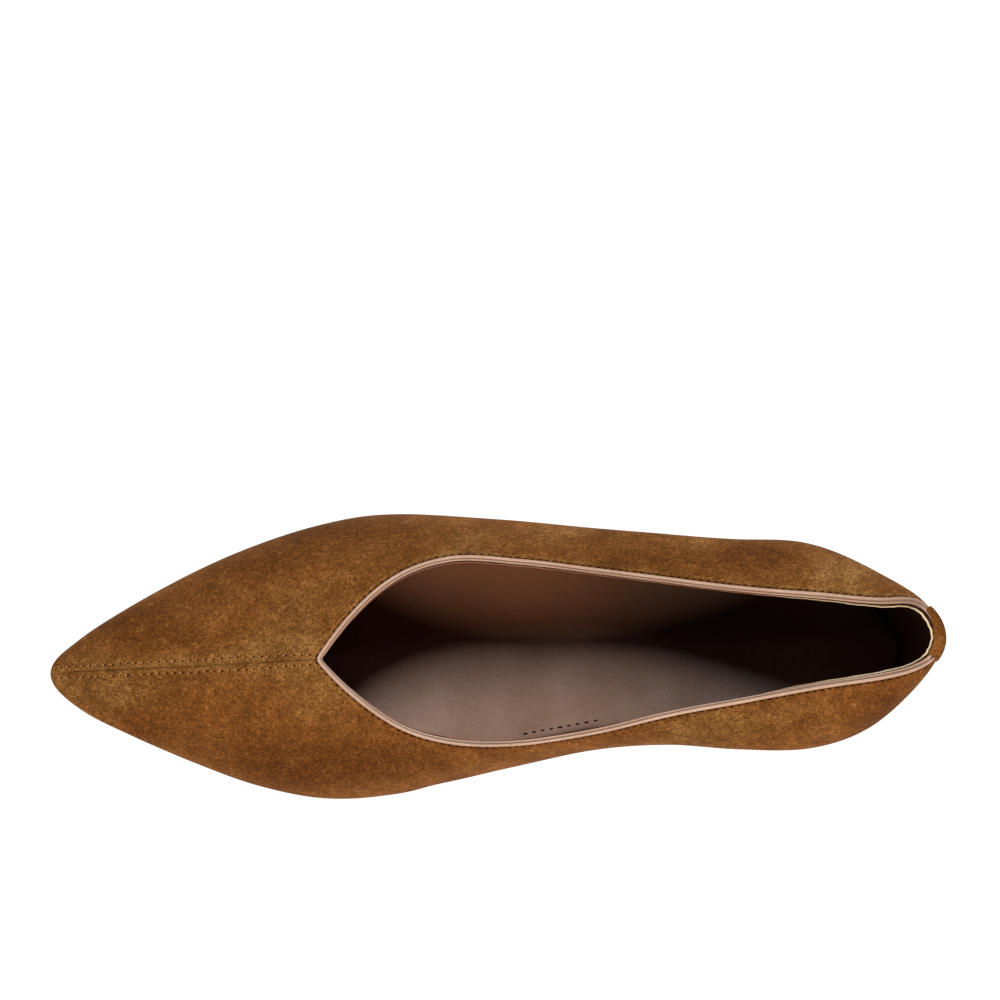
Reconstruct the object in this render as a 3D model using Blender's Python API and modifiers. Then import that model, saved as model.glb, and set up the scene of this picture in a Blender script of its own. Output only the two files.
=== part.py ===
"""Pointed suede pump for the right foot, on a kitten heel.

The wall of the shoe is one smooth surface through the sections of its last. Every other piece is
placed from that surface, so the binding, the tab, the insole, the sole and the heel follow it.
The toe points along -X, the outer side of the foot lies along +Y and the shoe stands on z = 0.
"""

import math
from collections import namedtuple

import bmesh
import bpy
import numpy as np
from mathutils import Matrix, Vector

MM = 0.001

# Driving dimensions of the shoe, in millimetres
LENGTH = 250.0  # from the back of the seat to the tip of the toe, along the floor
BALL_WIDTH = 84.0  # across the upper at the joints of the foot
INSTEP_HEIGHT = 44.5  # from the floor to the vamp at the notch of the throat
HEEL_HEIGHT = 45.0  # from the floor to the sole at the back of the seat

# Thicknesses and clearances, in millimetres
WALL = 1.8  # suede and lining together
SOLE = 3.2  # outsole from face to face under the foot
SEAT_SOLE = 1.4  # the same where it thins out over the heel
FIT = 0.3  # space between two pieces that meet
SOLE_MARGIN = 1.2  # how far the outsole reaches past the line where the upper turns under
SEAT_MARGIN = 0.8  # the same over the heel
SEAT_END = 50.0  # where the outsole starts to thicken, from the back of the seat
WAIST_START = 80.0  # where it has its full thickness
INSOLE_EDGE = 1.6  # height of the insole's rim over the turned-in edge of the upper
BINDING_FIT = 0.4  # space between the binding and the cut edge of the suede, which turns sharply
BINDING_HEIGHT = 2.2  # part of the binding that stands over that edge
BINDING_PROUD = 0.4  # how far the binding stands out from the lining
BINDING_SHOULDER = 0.55  # share of the binding's height at which its sides start to turn in
BINDING_BROW = 0.88  # the same at the middle of that turn
BINDING_LEAN = 0.45  # how far the sides have turned in there, as a share of half the thickness
TAB_HALF_WIDTH = 6.0
TAB_DROP = 26.0  # from the collar edge to the lower end of the tab
TAB_ROUNDING = 5.0  # how much shorter the tab is at its sides than in its middle
TAB_THICKNESS = 1.0
TAB_BEND = 0.8  # where the tab's outer bend over the binding lies, as a share of its thickness
TAB_FIT = 0.5  # space between the tab and the wall, which turns sharply there
TIP_THICKNESS = 6.0  # heel tip, with the space over it
NOTCH_PULL = 1.26  # how much faster than straight the collar edge leaves the notch

# How finely the curved pieces are divided
STEPS = 3  # divisions from one section to the next
TURN_ROUND_STEPS = 6  # the same where the shoe turns round its back and its tip
TURN_STEPS = 4  # divisions from the sole edge to the widest line of the wall
WALL_STEPS = 8  # divisions from the widest line of the wall to its upper edge
SOLE_STEPS = 4  # divisions from one side of the sole to the other
HEEL_STEPS = 32  # divisions round the heel
TAB_STEPS = 8  # divisions from one side of the tab to the other
SEARCH_STEPS = 60  # points at which a profile is measured along its length
NEARBY = 0.01  # distance at which a direction is measured, as a share of one section
MERGED = 0.001  # points closer than this many millimetres are one point

# Sections of the last at its sole, from the back of the seat to the tip of the toe.
# along is in hundredths of the length, and medial and lateral, the half widths of the sole edge, are in
# hundredths of the ball width. lift, the height of the sole over the floor, is in hundredths of the heel
# height. flare_medial and flare_lateral, how far the wall swells past the sole edge, and swell, how high
# its widest line lies over that edge, are in millimetres.
Sole = namedtuple("Sole", "name along medial lateral lift flare_medial flare_lateral swell")
SOLES = (
    Sole("seat_back", 0.0, 0.0, 0.0, 100.0, 3.5, 3.5, 18.0),
    Sole("seat_turn", 1.9, 13.9, 13.7, 99.1, 2.6, 2.4, 18.0),
    Sole("seat_corner", 6.0, 25.0, 24.9, 97.0, 3.0, 2.9, 18.0),
    Sole("seat_side", 12.2, 30.0, 31.7, 93.9, 3.6, 3.8, 18.0),
    Sole("seat_front", 20.0, 28.7, 32.9, 90.0, 4.4, 4.6, 17.0),
    Sole("waist_back", 28.0, 23.8, 32.6, 78.0, 6.7, 7.6, 16.0),
    Sole("waist", 36.4, 22.5, 34.2, 55.5, 8.4, 9.4, 15.0),
    Sole("waist_front", 45.2, 28.1, 38.9, 27.2, 7.6, 9.2, 15.3),
    Sole("joint", 53.2, 35.1, 45.0, 7.0, 5.8, 6.8, 14.4),
    Sole("ball", 60.4, 40.2, 47.9, 0.0, 4.9, 5.4, 12.0),
    Sole("throat", 67.6, 40.8, 45.2, 0.0, 4.6, 4.8, 11.0),
    Sole("toe_back", 74.8, 36.4, 39.2, 1.4, 4.3, 4.4, 10.0),
    Sole("toe_middle", 81.7, 28.9, 31.2, 5.0, 4.0, 4.0, 8.5),
    Sole("toe_front", 89.3, 19.4, 20.2, 10.5, 3.4, 3.4, 7.0),
    Sole("toe_round", 95.5, 10.0, 9.2, 15.5, 3.0, 3.0, 5.5),
    Sole("tip", 98.7, 0.0, 0.0, 18.0, 2.6, 2.6, 4.5),
)

# The same sections at the crown, the line over the foot in which the two sides meet.
# along is in hundredths of the length, rise in hundredths of the instep height and aside in millimetres.
# ridge is the slope at which the sides meet. fullness_medial and fullness_lateral are the roundness of
# the wall over its widest line. cut_medial and cut_lateral give the collar edge as a share of the way
# from that line to the crown, and the vamp is closed where they are 1.
Crown = namedtuple(
    "Crown", "name along rise aside ridge fullness_medial fullness_lateral cut_medial cut_lateral"
)
CROWNS = (
    Crown("seat_back", 1.46, 246.0, 0.0, 0.05, 0.80, 0.80, 0.596, 0.596),
    Crown("seat_turn", 1.37, 242.0, 0.4, 0.05, 0.75, 0.87, 0.672, 0.586),
    Crown("seat_corner", 5.6, 230.0, 1.0, 0.05, 0.54, 0.51, 0.68, 0.666),
    Crown("seat_side", 12.4, 211.0, 1.2, 0.05, 0.42, 0.42, 0.65, 0.662),
    Crown("seat_front", 20.0, 194.0, 1.2, 0.05, 0.44, 0.40, 0.575, 0.61),
    Crown("waist_back", 28.0, 177.0, 1.3, 0.05, 0.60, 0.39, 0.50, 0.555),
    Crown("waist", 36.0, 163.0, 1.4, 0.05, 0.79, 0.44, 0.435, 0.53),
    Crown("waist_front", 44.0, 149.0, 1.6, 0.05, 0.77, 0.48, 0.445, 0.515),
    Crown("joint", 52.0, 134.0, 1.8, 0.05, 0.64, 0.52, 0.515, 0.53),
    Crown("ball", 60.2, 116.6, 1.95, 0.05, 0.56, 0.51, 0.68, 0.673),
    Crown("throat", 68.37, 100.0, 1.0, 0.05, 0.55, 0.55, 1.0, 1.0),
    Crown("toe_back", 75.3, 89.0, 0.7, 0.05, 0.55, 0.55, 1.0, 1.0),
    Crown("toe_middle", 82.2, 78.0, 0.4, 0.06, 0.55, 0.55, 1.0, 1.0),
    Crown("toe_front", 89.0, 66.0, 0.3, 0.12, 0.55, 0.55, 1.0, 1.0),
    Crown("toe_round", 94.0, 55.0, 0.2, 0.28, 0.55, 0.55, 1.0, 1.0),
    Crown("tip", 96.2, 49.0, 0.1, 0.50, 0.55, 0.55, 1.0, 1.0),
)
BACK = 0
TIP = len(SOLES) - 1
THROAT = [row.name for row in SOLES].index("throat")
ROUND = 2 * TIP  # sections met on one way round the shoe, from the tip along the inner side and back

# Rings of the heel, from its top under the sole to the top of its tip.
# share is the height between those two, back and breast are the ends of the ring along the shoe in
# millimetres from the back of the seat, and half is half its width in millimetres.
Ring = namedtuple("Ring", "share back breast half")
RINGS = (
    Ring(1.00, 0.0, 47.0, 24.6),
    Ring(0.93, 0.7, 43.6, 23.6),
    Ring(0.86, 2.0, 40.8, 22.4),
    Ring(0.74, 4.8, 37.2, 18.6),
    Ring(0.60, 8.8, 34.2, 14.2),
    Ring(0.42, 13.0, 31.6, 10.4),
    Ring(0.24, 16.2, 30.2, 8.0),
    Ring(0.10, 17.9, 29.8, 6.9),
    Ring(0.00, 18.4, 29.8, 6.6),
)
HEEL_BACK_POWER = 1.75  # roundness of a ring towards the back of the shoe
HEEL_BREAST_POWER = 5.0  # roundness of a ring towards the breast, which is nearly flat

Finish = namedtuple("Finish", "name colour roughness")
TAN = (0.205, 0.068, 0.014, 1.0)
UPPER_FINISH = Finish("tan suede of the upper", TAN, 0.95)
TAB_FINISH = Finish("tan suede of the back tab", TAN, 0.95)
HEEL_FINISH = Finish("tan suede of the heel cover", TAN, 0.95)
BINDING_FINISH = Finish("rose beige leather of the binding", (0.530, 0.330, 0.235, 1.0), 0.5)
INSOLE_FINISH = Finish("taupe leather of the insole", (0.300, 0.205, 0.160, 1.0), 0.55)
OUTSOLE_FINISH = Finish("tan leather of the outsole", (0.330, 0.180, 0.090, 1.0), 0.45)
TIP_FINISH = Finish("dark rubber of the heel tip", (0.030, 0.022, 0.018, 1.0), 0.6)


# Curves through the rows of the table


def loop_column(medial, lateral):
    """Values of a column once round the shoe: tip, inner side, back of the seat, outer side."""
    return np.array(list(medial[:BACK:-1]) + list(lateral[:TIP]), float)


def table_column(rows, name, unit=1.0):
    return [getattr(row, name) * unit for row in rows]


def on_both_sides(rows, name, unit=1.0):
    column = table_column(rows, name, unit)
    return loop_column(column, column)


def on_each_side(rows, name):
    return loop_column(table_column(rows, name + "_medial"), table_column(rows, name + "_lateral"))


PERCENT_LENGTH = LENGTH / 100.0
PERCENT_WIDTH = BALL_WIDTH / 100.0
ALONG = on_both_sides(SOLES, "along", PERCENT_LENGTH)
ASIDE = loop_column(
    table_column(SOLES, "medial", -PERCENT_WIDTH), table_column(SOLES, "lateral", PERCENT_WIDTH)
)
FLARE = on_each_side(SOLES, "flare")
SWELL = on_both_sides(SOLES, "swell")
CROWN_ALONG = on_both_sides(CROWNS, "along", PERCENT_LENGTH)
CROWN_RISE = on_both_sides(CROWNS, "rise", INSTEP_HEIGHT / 100.0)
CROWN_ASIDE = on_both_sides(CROWNS, "aside")
RIDGE = on_both_sides(CROWNS, "ridge")
FULLNESS = on_each_side(CROWNS, "fullness")
CUT = on_each_side(CROWNS, "cut")
THROAT_MEDIAL = TIP - THROAT
THROAT_LATERAL = TIP + THROAT
THROATS = (THROAT_MEDIAL, THROAT_LATERAL)


def stations(first, last):
    """Places on the way round the shoe, from one section to another, closer where it turns."""
    places = []
    for row in range(first, last):
        turns = row % TIP in (0, TIP - 1)
        count = TURN_ROUND_STEPS if turns else STEPS
        places.extend(row + np.arange(count) / count)
    return np.array(places)


def slope_at(column, row, step, corners):
    """Slope of the curve at a row, and at a corner the slope of the side that is walked."""
    before = column[(row - 1) % ROUND]
    here = column[row % ROUND]
    after = column[(row + 1) % ROUND]
    if row % ROUND in corners:
        return NOTCH_PULL * (after - here if step > 0 else here - before)
    return (after - before) / 2.0


def on_loop(column, station, corners=()):
    """Value at a station, on a smooth closed curve that passes through every row."""
    row = math.floor(station)
    t = station - row
    start = column[row % ROUND]
    end = column[(row + 1) % ROUND]
    leave = slope_at(column, row, 1, corners)
    arrive = slope_at(column, row + 1, -1, corners)
    straight = start + (end - start) * (3.0 - 2.0 * t) * t * t
    return straight + leave * t * (1.0 - t) ** 2 - arrive * t * t * (1.0 - t)


def steady_slopes(places, heights):
    """Slopes that let a curve through the heights rise, fall or stay level just as they do."""
    run = np.diff(places)
    rise = np.diff(heights) / run
    slopes = np.zeros(len(places))
    slopes[0] = rise[0]
    slopes[-1] = rise[-1]
    for i in range(1, len(rise)):
        if rise[i - 1] * rise[i] > 0.0:
            near = 2.0 * run[i] + run[i - 1]
            far = run[i] + 2.0 * run[i - 1]
            slopes[i] = (near + far) / (near / rise[i - 1] + far / rise[i])
    return slopes


LIFT_PLACES = np.array(table_column(SOLES, "along", PERCENT_LENGTH))
LIFT_HEIGHTS = np.array(table_column(SOLES, "lift", HEEL_HEIGHT / 100.0))
LIFT_SLOPES = steady_slopes(LIFT_PLACES, LIFT_HEIGHTS)


def lift(along):
    """Height over the floor of the sole's lower face, where the sole has its full thickness."""
    i = int(np.clip(np.searchsorted(LIFT_PLACES, along) - 1, 0, len(LIFT_PLACES) - 2))
    run = LIFT_PLACES[i + 1] - LIFT_PLACES[i]
    t = (along - LIFT_PLACES[i]) / run
    if t < 0.0 or t > 1.0:
        end = i + round(min(max(t, 0.0), 1.0))
        return LIFT_HEIGHTS[end] + LIFT_SLOPES[end] * (along - LIFT_PLACES[end])
    smooth = (3.0 - 2.0 * t) * t * t
    level = LIFT_HEIGHTS[i] + (LIFT_HEIGHTS[i + 1] - LIFT_HEIGHTS[i]) * smooth
    leave = LIFT_SLOPES[i] * t * (1.0 - t) ** 2
    arrive = LIFT_SLOPES[i + 1] * t * t * (1.0 - t)
    return level + run * (leave - arrive)


def underside(along):
    """Height of the outsole's lower face, which lies higher where the outsole is thin."""
    return lift(along) + SOLE - np.interp(along, (SEAT_END, WAIST_START), (SEAT_SOLE, SOLE))


def margin(along):
    """How far the outsole reaches past the line where the upper turns under."""
    return np.interp(along, (SEAT_END, WAIST_START), (SEAT_MARGIN, SOLE_MARGIN))


# The surface of the last, in millimetres along, aside and up


def sole_edge(station, reach=0.0):
    """Point where the wall turns under, moved outwards by reach, and the outward direction there."""
    here = np.array([on_loop(ALONG, station), on_loop(ASIDE, station)])
    ahead = np.array([on_loop(ALONG, station + NEARBY), on_loop(ASIDE, station + NEARBY)])
    run, side = ahead - here
    out = np.array([-side, run]) / math.hypot(run, side)
    return here + out * reach, out


def seat_level(along):
    """Height of the line where the wall turns under."""
    return lift(along) + SOLE + FIT


def surface(station, way):
    """Point of the outer wall. way is 0 at the sole edge, 1 at the widest line and 2 at the crown."""
    edge, out = sole_edge(station)
    low = seat_level(edge[0])
    flare = on_loop(FLARE, station)
    swell = on_loop(SWELL, station)
    if way <= 1.0:
        turn = way * math.pi / 2.0
        place = edge + out * flare * math.sin(turn)
        return np.array([place[0], place[1], low + swell * (1.0 - math.cos(turn))])
    widest = np.append(edge + out * flare, low + swell)
    crown = np.array(
        [on_loop(CROWN_ALONG, station), on_loop(CROWN_ASIDE, station), on_loop(CROWN_RISE, station)]
    )
    fullness = on_loop(FULLNESS, station)
    across = widest[:2] - crown[:2]
    rising = widest + np.array([0.0, 0.0, fullness * (crown[2] - widest[2])])
    fall = on_loop(RIDGE, station) * fullness * np.linalg.norm(across)
    level = crown + np.append(across * fullness, -fall)
    t = way - 1.0
    s = 1.0 - t
    return s**3 * widest + 3.0 * s * s * t * rising + 3.0 * s * t * t * level + t**3 * crown


def collar(station):
    """way of the wall's upper edge: the collar, or the seam of the closed vamp."""
    return 1.0 + min(on_loop(CUT, station, THROATS), 1.0)


def outward(station, way):
    """Unit normal of the wall, away from the foot."""
    up = surface(station, way) - surface(station, way - NEARBY)
    if way < NEARBY:
        up = surface(station, way + NEARBY) - surface(station, way)
    on = surface(station + NEARBY, way) - surface(station - NEARBY, way)
    normal = np.cross(up, on)
    return normal / np.linalg.norm(normal)


def ways(station):
    """Divisions of a profile from the sole edge to the wall's upper edge."""
    turn = np.linspace(0.0, 1.0, TURN_STEPS, endpoint=False)
    wall = np.linspace(1.0, collar(station), WALL_STEPS + 1)
    return np.concatenate([turn, wall])


def way_below(station, drop):
    """way of the point that lies this far down the wall from its upper edge."""
    places = np.linspace(collar(station), 0.0, SEARCH_STEPS)
    points = np.array([surface(station, place) for place in places])
    lengths = np.linalg.norm(np.diff(points, axis=0), axis=1)
    return float(np.interp(drop, np.concatenate([[0.0], np.cumsum(lengths)]), places))


def station_aside(aside, drop):
    """Station by the back seam of the wall's point that lies this far aside and down from the collar."""
    near = np.linspace(TIP - 1.0, TIP + 1.0, SEARCH_STEPS)
    sides = [surface(s, way_below(s, drop))[1] for s in near]
    middle = surface(TIP, way_below(TIP, drop))[1]
    return float(np.interp(aside + middle, sides, near))


# Meshes and their finishes


def to_world(point):
    return Vector((-point[0] * MM, point[1] * MM, point[2] * MM))


def material(finish):
    made = bpy.data.materials.new(finish.name)
    made.use_nodes = True
    shader = made.node_tree.nodes["Principled BSDF"]
    shader.inputs["Base Color"].default_value = finish.colour
    shader.inputs["Roughness"].default_value = finish.roughness
    made.diffuse_color = finish.colour
    return made


def add_object(name, mesh, finish, collection):
    """Object from a bmesh, with points that coincide made one."""
    bmesh.ops.remove_doubles(mesh, verts=mesh.verts, dist=MERGED * MM)
    data = bpy.data.meshes.new(name)
    mesh.to_mesh(data)
    mesh.free()
    data.materials.append(material(finish))
    made = bpy.data.objects.new(name, data)
    collection.objects.link(made)
    return made


def add_face(mesh, corners):
    """Face through the corners, leaving out those that coincide with the one before."""
    kept = [v for i, v in enumerate(corners) if (v.co - corners[i - 1].co).length > MERGED * MM]
    if len(kept) > 2:
        mesh.faces.new(kept)


def add_grid(mesh, rows, closed_rows=False, closed_columns=False):
    """Faces between rows of points, all of one length. They face along rows x columns."""
    grid = [[mesh.verts.new(to_world(point)) for point in row] for row in rows]
    row_steps = len(grid) if closed_rows else len(grid) - 1
    column_steps = len(grid[0]) if closed_columns else len(grid[0]) - 1
    for i in range(row_steps):
        this = grid[i]
        following = grid[(i + 1) % len(grid)]
        for j in range(column_steps):
            k = (j + 1) % len(this)
            add_face(mesh, (this[j], following[j], following[k], this[k]))
    return grid


def facing_out(mesh):
    """Turns the faces of a closed mesh outwards."""
    bmesh.ops.remove_doubles(mesh, verts=mesh.verts, dist=MERGED * MM)
    bmesh.ops.recalc_face_normals(mesh, faces=mesh.faces)


# Pieces of the shoe


def build_upper(collection):
    """Shell from the sole edge to the collar, thickened inwards to its wall."""
    mesh = bmesh.new()
    rows = [[surface(s, way) for way in ways(s)] for s in stations(0, ROUND)]
    add_grid(mesh, rows, closed_rows=True)
    upper = add_object("upper", mesh, UPPER_FINISH, collection)
    wall = upper.modifiers.new("wall", "SOLIDIFY")
    wall.thickness = WALL * MM
    wall.offset = -1.0
    wall.use_even_offset = True
    wall.use_quality_normals = True


def collar_frames():
    """Points of the collar edge with the directions out of the wall and on past the edge.

    The last direction is lengthened at the notch, where the edges of the two sides meet in a mitre.
    """
    places = stations(THROAT_MEDIAL, THROAT_LATERAL)
    points = np.array([surface(s, collar(s)) for s in places])
    outs = np.array([outward(s, collar(s)) for s in places])
    towards = np.roll(points, -1, axis=0) - points
    towards /= np.linalg.norm(towards, axis=1)[:, None]
    beyond = np.cross(towards, outs)
    beyond_before = np.cross(np.roll(towards, 1, axis=0), outs)
    middle = beyond + beyond_before
    middle /= np.linalg.norm(middle, axis=1)[:, None]
    return points, outs, middle / np.einsum("ij,ij->i", middle, beyond)[:, None]


def between(frames, station):
    """The frame that lies at a station between two of the collar's frames."""
    places = stations(THROAT_MEDIAL, THROAT_LATERAL)
    return [np.array([np.interp(station, places, part) for part in column.T]) for column in frames]


def build_binding(collection):
    """Rounded band that carries the wall on past the cut edge of the suede, right round the collar."""
    outside = 0.0
    inside = -WALL - BINDING_PROUD
    middle = (outside + inside) / 2.0
    lean = BINDING_LEAN * (outside - middle)
    shoulder = BINDING_FIT + BINDING_SHOULDER * BINDING_HEIGHT
    brow = BINDING_FIT + BINDING_BROW * BINDING_HEIGHT
    profile = (
        (BINDING_FIT, outside),
        (shoulder, outside),
        (brow, outside - lean),
        (BINDING_FIT + BINDING_HEIGHT, middle),
        (brow, inside + lean),
        (shoulder, inside),
        (BINDING_FIT, inside),
    )
    rows = []
    for point, out, past in zip(*collar_frames()):
        rows.append([point + past * rise + out * depth for rise, depth in profile])
    mesh = bmesh.new()
    add_grid(mesh, rows, closed_rows=True, closed_columns=True)
    facing_out(mesh)
    add_object("topline_binding", mesh, BINDING_FINISH, collection)


def build_tab(collection):
    """Strip over the back seam that climbs the wall and folds over the binding."""
    top = BINDING_FIT + BINDING_HEIGHT + TAB_FIT
    inside = -WALL - BINDING_PROUD
    hook = (
        (top - TAB_FIT, TAB_FIT + TAB_THICKNESS),
        (top + TAB_BEND * TAB_THICKNESS, TAB_BEND * TAB_THICKNESS),
        (top + TAB_THICKNESS, 0.0),
        (top + TAB_THICKNESS, inside),
        (top, inside),
        (top, TAB_FIT),
    )
    frames = collar_frames()
    rows = []
    for share in np.linspace(-1.0, 1.0, TAB_STEPS + 1):
        drops = np.linspace(0.0, TAB_DROP - TAB_ROUNDING * share * share, TAB_STEPS)
        spots = [station_aside(share * TAB_HALF_WIDTH, drop) for drop in drops]
        places = [(s, way_below(s, drop)) for s, drop in zip(spots, drops)]
        inner = [surface(*place) + outward(*place) * TAB_FIT for place in places]
        outer = [surface(*place) + outward(*place) * (TAB_FIT + TAB_THICKNESS) for place in places]
        edge, out, past = between(frames, spots[0])
        fold = [edge + past * rise + out * depth for rise, depth in hook]
        rows.append(outer[::-1] + fold + inner)
    mesh = bmesh.new()
    grid = add_grid(mesh, rows, closed_columns=True)
    for end in (grid[0], grid[-1]):
        count = len(end)
        for j in range(count // 2 - 1):
            add_face(mesh, (end[j], end[j + 1], end[count - 2 - j], end[count - 1 - j]))
    facing_out(mesh)
    add_object("back_tab", mesh, TAB_FINISH, collection)


def stations_across():
    """Pairs of stations that lie across from each other, from the back of the seat to the tip."""
    steps = np.append(stations(TIP, ROUND) - TIP, TIP)
    return [(TIP - step, TIP + step) for step in steps]


def across(left, right, height):
    """Points from one side of the sole to the other, at a height that depends on where they lie."""
    points = [left + (right - left) * share for share in np.linspace(0.0, 1.0, SOLE_STEPS + 1)]
    return [np.array([point[0], point[1], height(point[0])]) for point in points]


def build_outsole(collection):
    """Plate that follows the arch, level under the ball, sprung at the toe and thin over the heel."""
    rows = []
    for inner, outer in stations_across():
        reach = margin(on_loop(ALONG, inner))
        left, _ = sole_edge(inner, reach)
        right, _ = sole_edge(outer, reach)
        top = across(left, right, lambda along: lift(along) + SOLE)
        under = across(left, right, underside)
        rows.append(top + under[::-1])
    mesh = bmesh.new()
    add_grid(mesh, rows, closed_columns=True)
    facing_out(mesh)
    add_object("outsole", mesh, OUTSOLE_FINISH, collection)


def insole_rim(station):
    """Point of the insole's upper edge, beside the inner face of the wall."""
    edge, out = sole_edge(station)
    height = seat_level(edge[0]) + WALL + INSOLE_EDGE
    places = np.linspace(0.0, 1.0, SEARCH_STEPS)
    inner = [surface(station, way) - outward(station, way) * (WALL + 2.0 * FIT) for way in places]
    heights = [point[2] for point in inner]
    reaches = [float(np.dot(point[:2] - edge, out)) for point in inner]
    return edge + out * float(np.interp(height, heights, reaches))


def build_insole(collection):
    """Plate inside the turned-in edge of the upper, with a rim that spreads over that edge."""
    rows = []
    for inner, outer in stations_across():
        left, _ = sole_edge(inner, -WALL - FIT)
        right, _ = sole_edge(outer, -WALL - FIT)
        top = across(
            insole_rim(inner), insole_rim(outer), lambda along: seat_level(along) + WALL + INSOLE_EDGE
        )
        neck = across(left, right, lambda along: seat_level(along) + WALL + FIT)
        under = across(left, right, seat_level)
        rows.append(top + [neck[-1]] + under[::-1] + [neck[0]])
    mesh = bmesh.new()
    add_grid(mesh, rows, closed_columns=True)
    facing_out(mesh)
    add_object("insole", mesh, INSOLE_FINISH, collection)


def heel_ring(ring, height):
    """Outline of the heel at one ring: round at the back and nearly flat at the breast."""
    middle = (ring.back + ring.breast) / 2.0
    half_length = (ring.breast - ring.back) / 2.0
    points = []
    for angle in np.arange(HEEL_STEPS) * 2.0 * math.pi / HEEL_STEPS:
        ahead = math.cos(angle)
        side = math.sin(angle)
        power = 2.0 / (HEEL_BREAST_POWER if ahead > 0.0 else HEEL_BACK_POWER)
        along = middle + half_length * math.copysign(abs(ahead) ** power, ahead)
        aside = ring.half * math.copysign(abs(side) ** power, side)
        points.append(np.array([along, aside, height(along)]))
    return points


def build_heel(collection):
    """Tapering heel whose top lies under the sole."""
    rows = []
    for ring in RINGS:
        share = ring.share
        rows.append(
            heel_ring(ring, lambda along: TIP_THICKNESS + share * (underside(along) - FIT - TIP_THICKNESS))
        )
    mesh = bmesh.new()
    grid = add_grid(mesh, rows, closed_columns=True)
    for end in (grid[0], grid[-1]):
        add_face(mesh, end)
    facing_out(mesh)
    add_object("heel", mesh, HEEL_FINISH, collection)


def build_heel_tip(collection):
    """Block under the heel that stands on the floor."""
    foot = RINGS[-1]
    rows = [heel_ring(foot, lambda along: TIP_THICKNESS - FIT), heel_ring(foot, lambda along: 0.0)]
    mesh = bmesh.new()
    grid = add_grid(mesh, rows, closed_columns=True)
    for end in (grid[0], grid[-1]):
        add_face(mesh, end)
    facing_out(mesh)
    add_object("heel_tip", mesh, TIP_FINISH, collection)


def stand_over_origin(collection):
    """Moves every piece so that the middle of the shoe's box lies over the origin."""
    bpy.context.view_layer.update()
    graph = bpy.context.evaluated_depsgraph_get()
    corners = []
    for piece in collection.objects:
        corners.extend(piece.evaluated_get(graph).bound_box)
    corners = np.array([tuple(corner) for corner in corners])
    middle = (corners.min(axis=0) + corners.max(axis=0)) / 2.0
    for piece in collection.objects:
        piece.data.transform(Matrix.Translation((-middle[0], -middle[1], 0.0)))


def main():
    for old in list(bpy.data.objects):
        bpy.data.objects.remove(old, do_unlink=True)
    collection = bpy.data.collections.new("kitten_heel_pump")
    bpy.context.scene.collection.children.link(collection)
    build_upper(collection)
    build_binding(collection)
    build_tab(collection)
    build_insole(collection)
    build_outsole(collection)
    build_heel(collection)
    build_heel_tip(collection)
    stand_over_origin(collection)


main()
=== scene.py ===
"""Dressed model of a pointed suede pump for the right foot, on a kitten heel.

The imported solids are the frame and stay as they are. The wall of the shoe is drawn again from the
sections of its last, finely enough for a seam, its stitches and the soft waves of the suede, and
every other piece is placed from the same last. Sizes are in millimetres until a mesh is made, and
in metres from there on. The toe points along -X and the outer side of the foot lies along +Y.
"""

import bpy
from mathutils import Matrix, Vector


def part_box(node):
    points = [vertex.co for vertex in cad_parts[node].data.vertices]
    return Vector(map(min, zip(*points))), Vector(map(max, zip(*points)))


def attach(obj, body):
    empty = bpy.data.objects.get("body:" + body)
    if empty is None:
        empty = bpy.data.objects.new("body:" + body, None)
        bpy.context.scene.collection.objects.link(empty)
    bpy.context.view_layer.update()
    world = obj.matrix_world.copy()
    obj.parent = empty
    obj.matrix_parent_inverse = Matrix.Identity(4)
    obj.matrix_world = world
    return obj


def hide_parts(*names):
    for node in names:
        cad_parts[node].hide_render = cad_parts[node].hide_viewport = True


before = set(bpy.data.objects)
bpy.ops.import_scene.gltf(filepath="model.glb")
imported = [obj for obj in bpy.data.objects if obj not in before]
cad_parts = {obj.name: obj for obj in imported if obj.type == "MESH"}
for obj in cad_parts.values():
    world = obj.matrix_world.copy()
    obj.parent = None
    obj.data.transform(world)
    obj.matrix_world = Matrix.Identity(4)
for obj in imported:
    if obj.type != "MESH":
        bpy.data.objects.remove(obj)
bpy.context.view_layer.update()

import logging
import math
from dataclasses import dataclass, field
from enum import Enum
from typing import NamedTuple, Sequence

import bmesh
import bpy
import numpy as np
from mathutils import Matrix, Vector
from mathutils.bvhtree import BVHTree
from numpy.typing import NDArray

Array = NDArray[np.float64]
LOG = logging.getLogger("pump")
MM = 0.001
BODY = "root"
MERGE = 0.001 * MM  # points closer than this are one point
SHARP = 0.9  # edges that turn by more than this angle are rounded
ABOVE = Vector((0.0, 0.0, 0.3))  # from a place in plan to a point well over the shoe
DOWN = Vector((0.0, 0.0, -1.0))
MATH = "ShaderNodeMath"
VECTOR_MATH = "ShaderNodeVectorMath"
NOISE = "ShaderNodeTexNoise"
MARK = "ShaderNodeAttribute"
ALIGN = "FunctionNodeAlignRotationToVector"


class Slot(Enum):
    """Material slots of the record."""

    SUEDE = "suede"
    BINDING = "binding_leather"
    INSOLE = "insole_leather"
    SOLE = "sole_leather"
    TIP = "tip_rubber"


# Small helpers for colours, nodes and meshes


def linear(hex_colour: str) -> tuple[float, float, float, float]:
    """Turns an sRGB hex value into a linear colour.

    Args:
        hex_colour: six hex digits, red first.

    Returns:
        Red, green, blue and an alpha of 1.
    """
    parts = [int(hex_colour[i : i + 2], 16) / 255.0 for i in (0, 2, 4)]
    curved = [p / 12.92 if p <= 0.04045 else ((p + 0.055) / 1.055) ** 2.4 for p in parts]
    return (curved[0], curved[1], curved[2], 1.0)


def per_metre(size_mm: float) -> float:
    """Scale of a pattern whose features have this size."""
    return 1.0 / (size_mm * MM)


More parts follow.
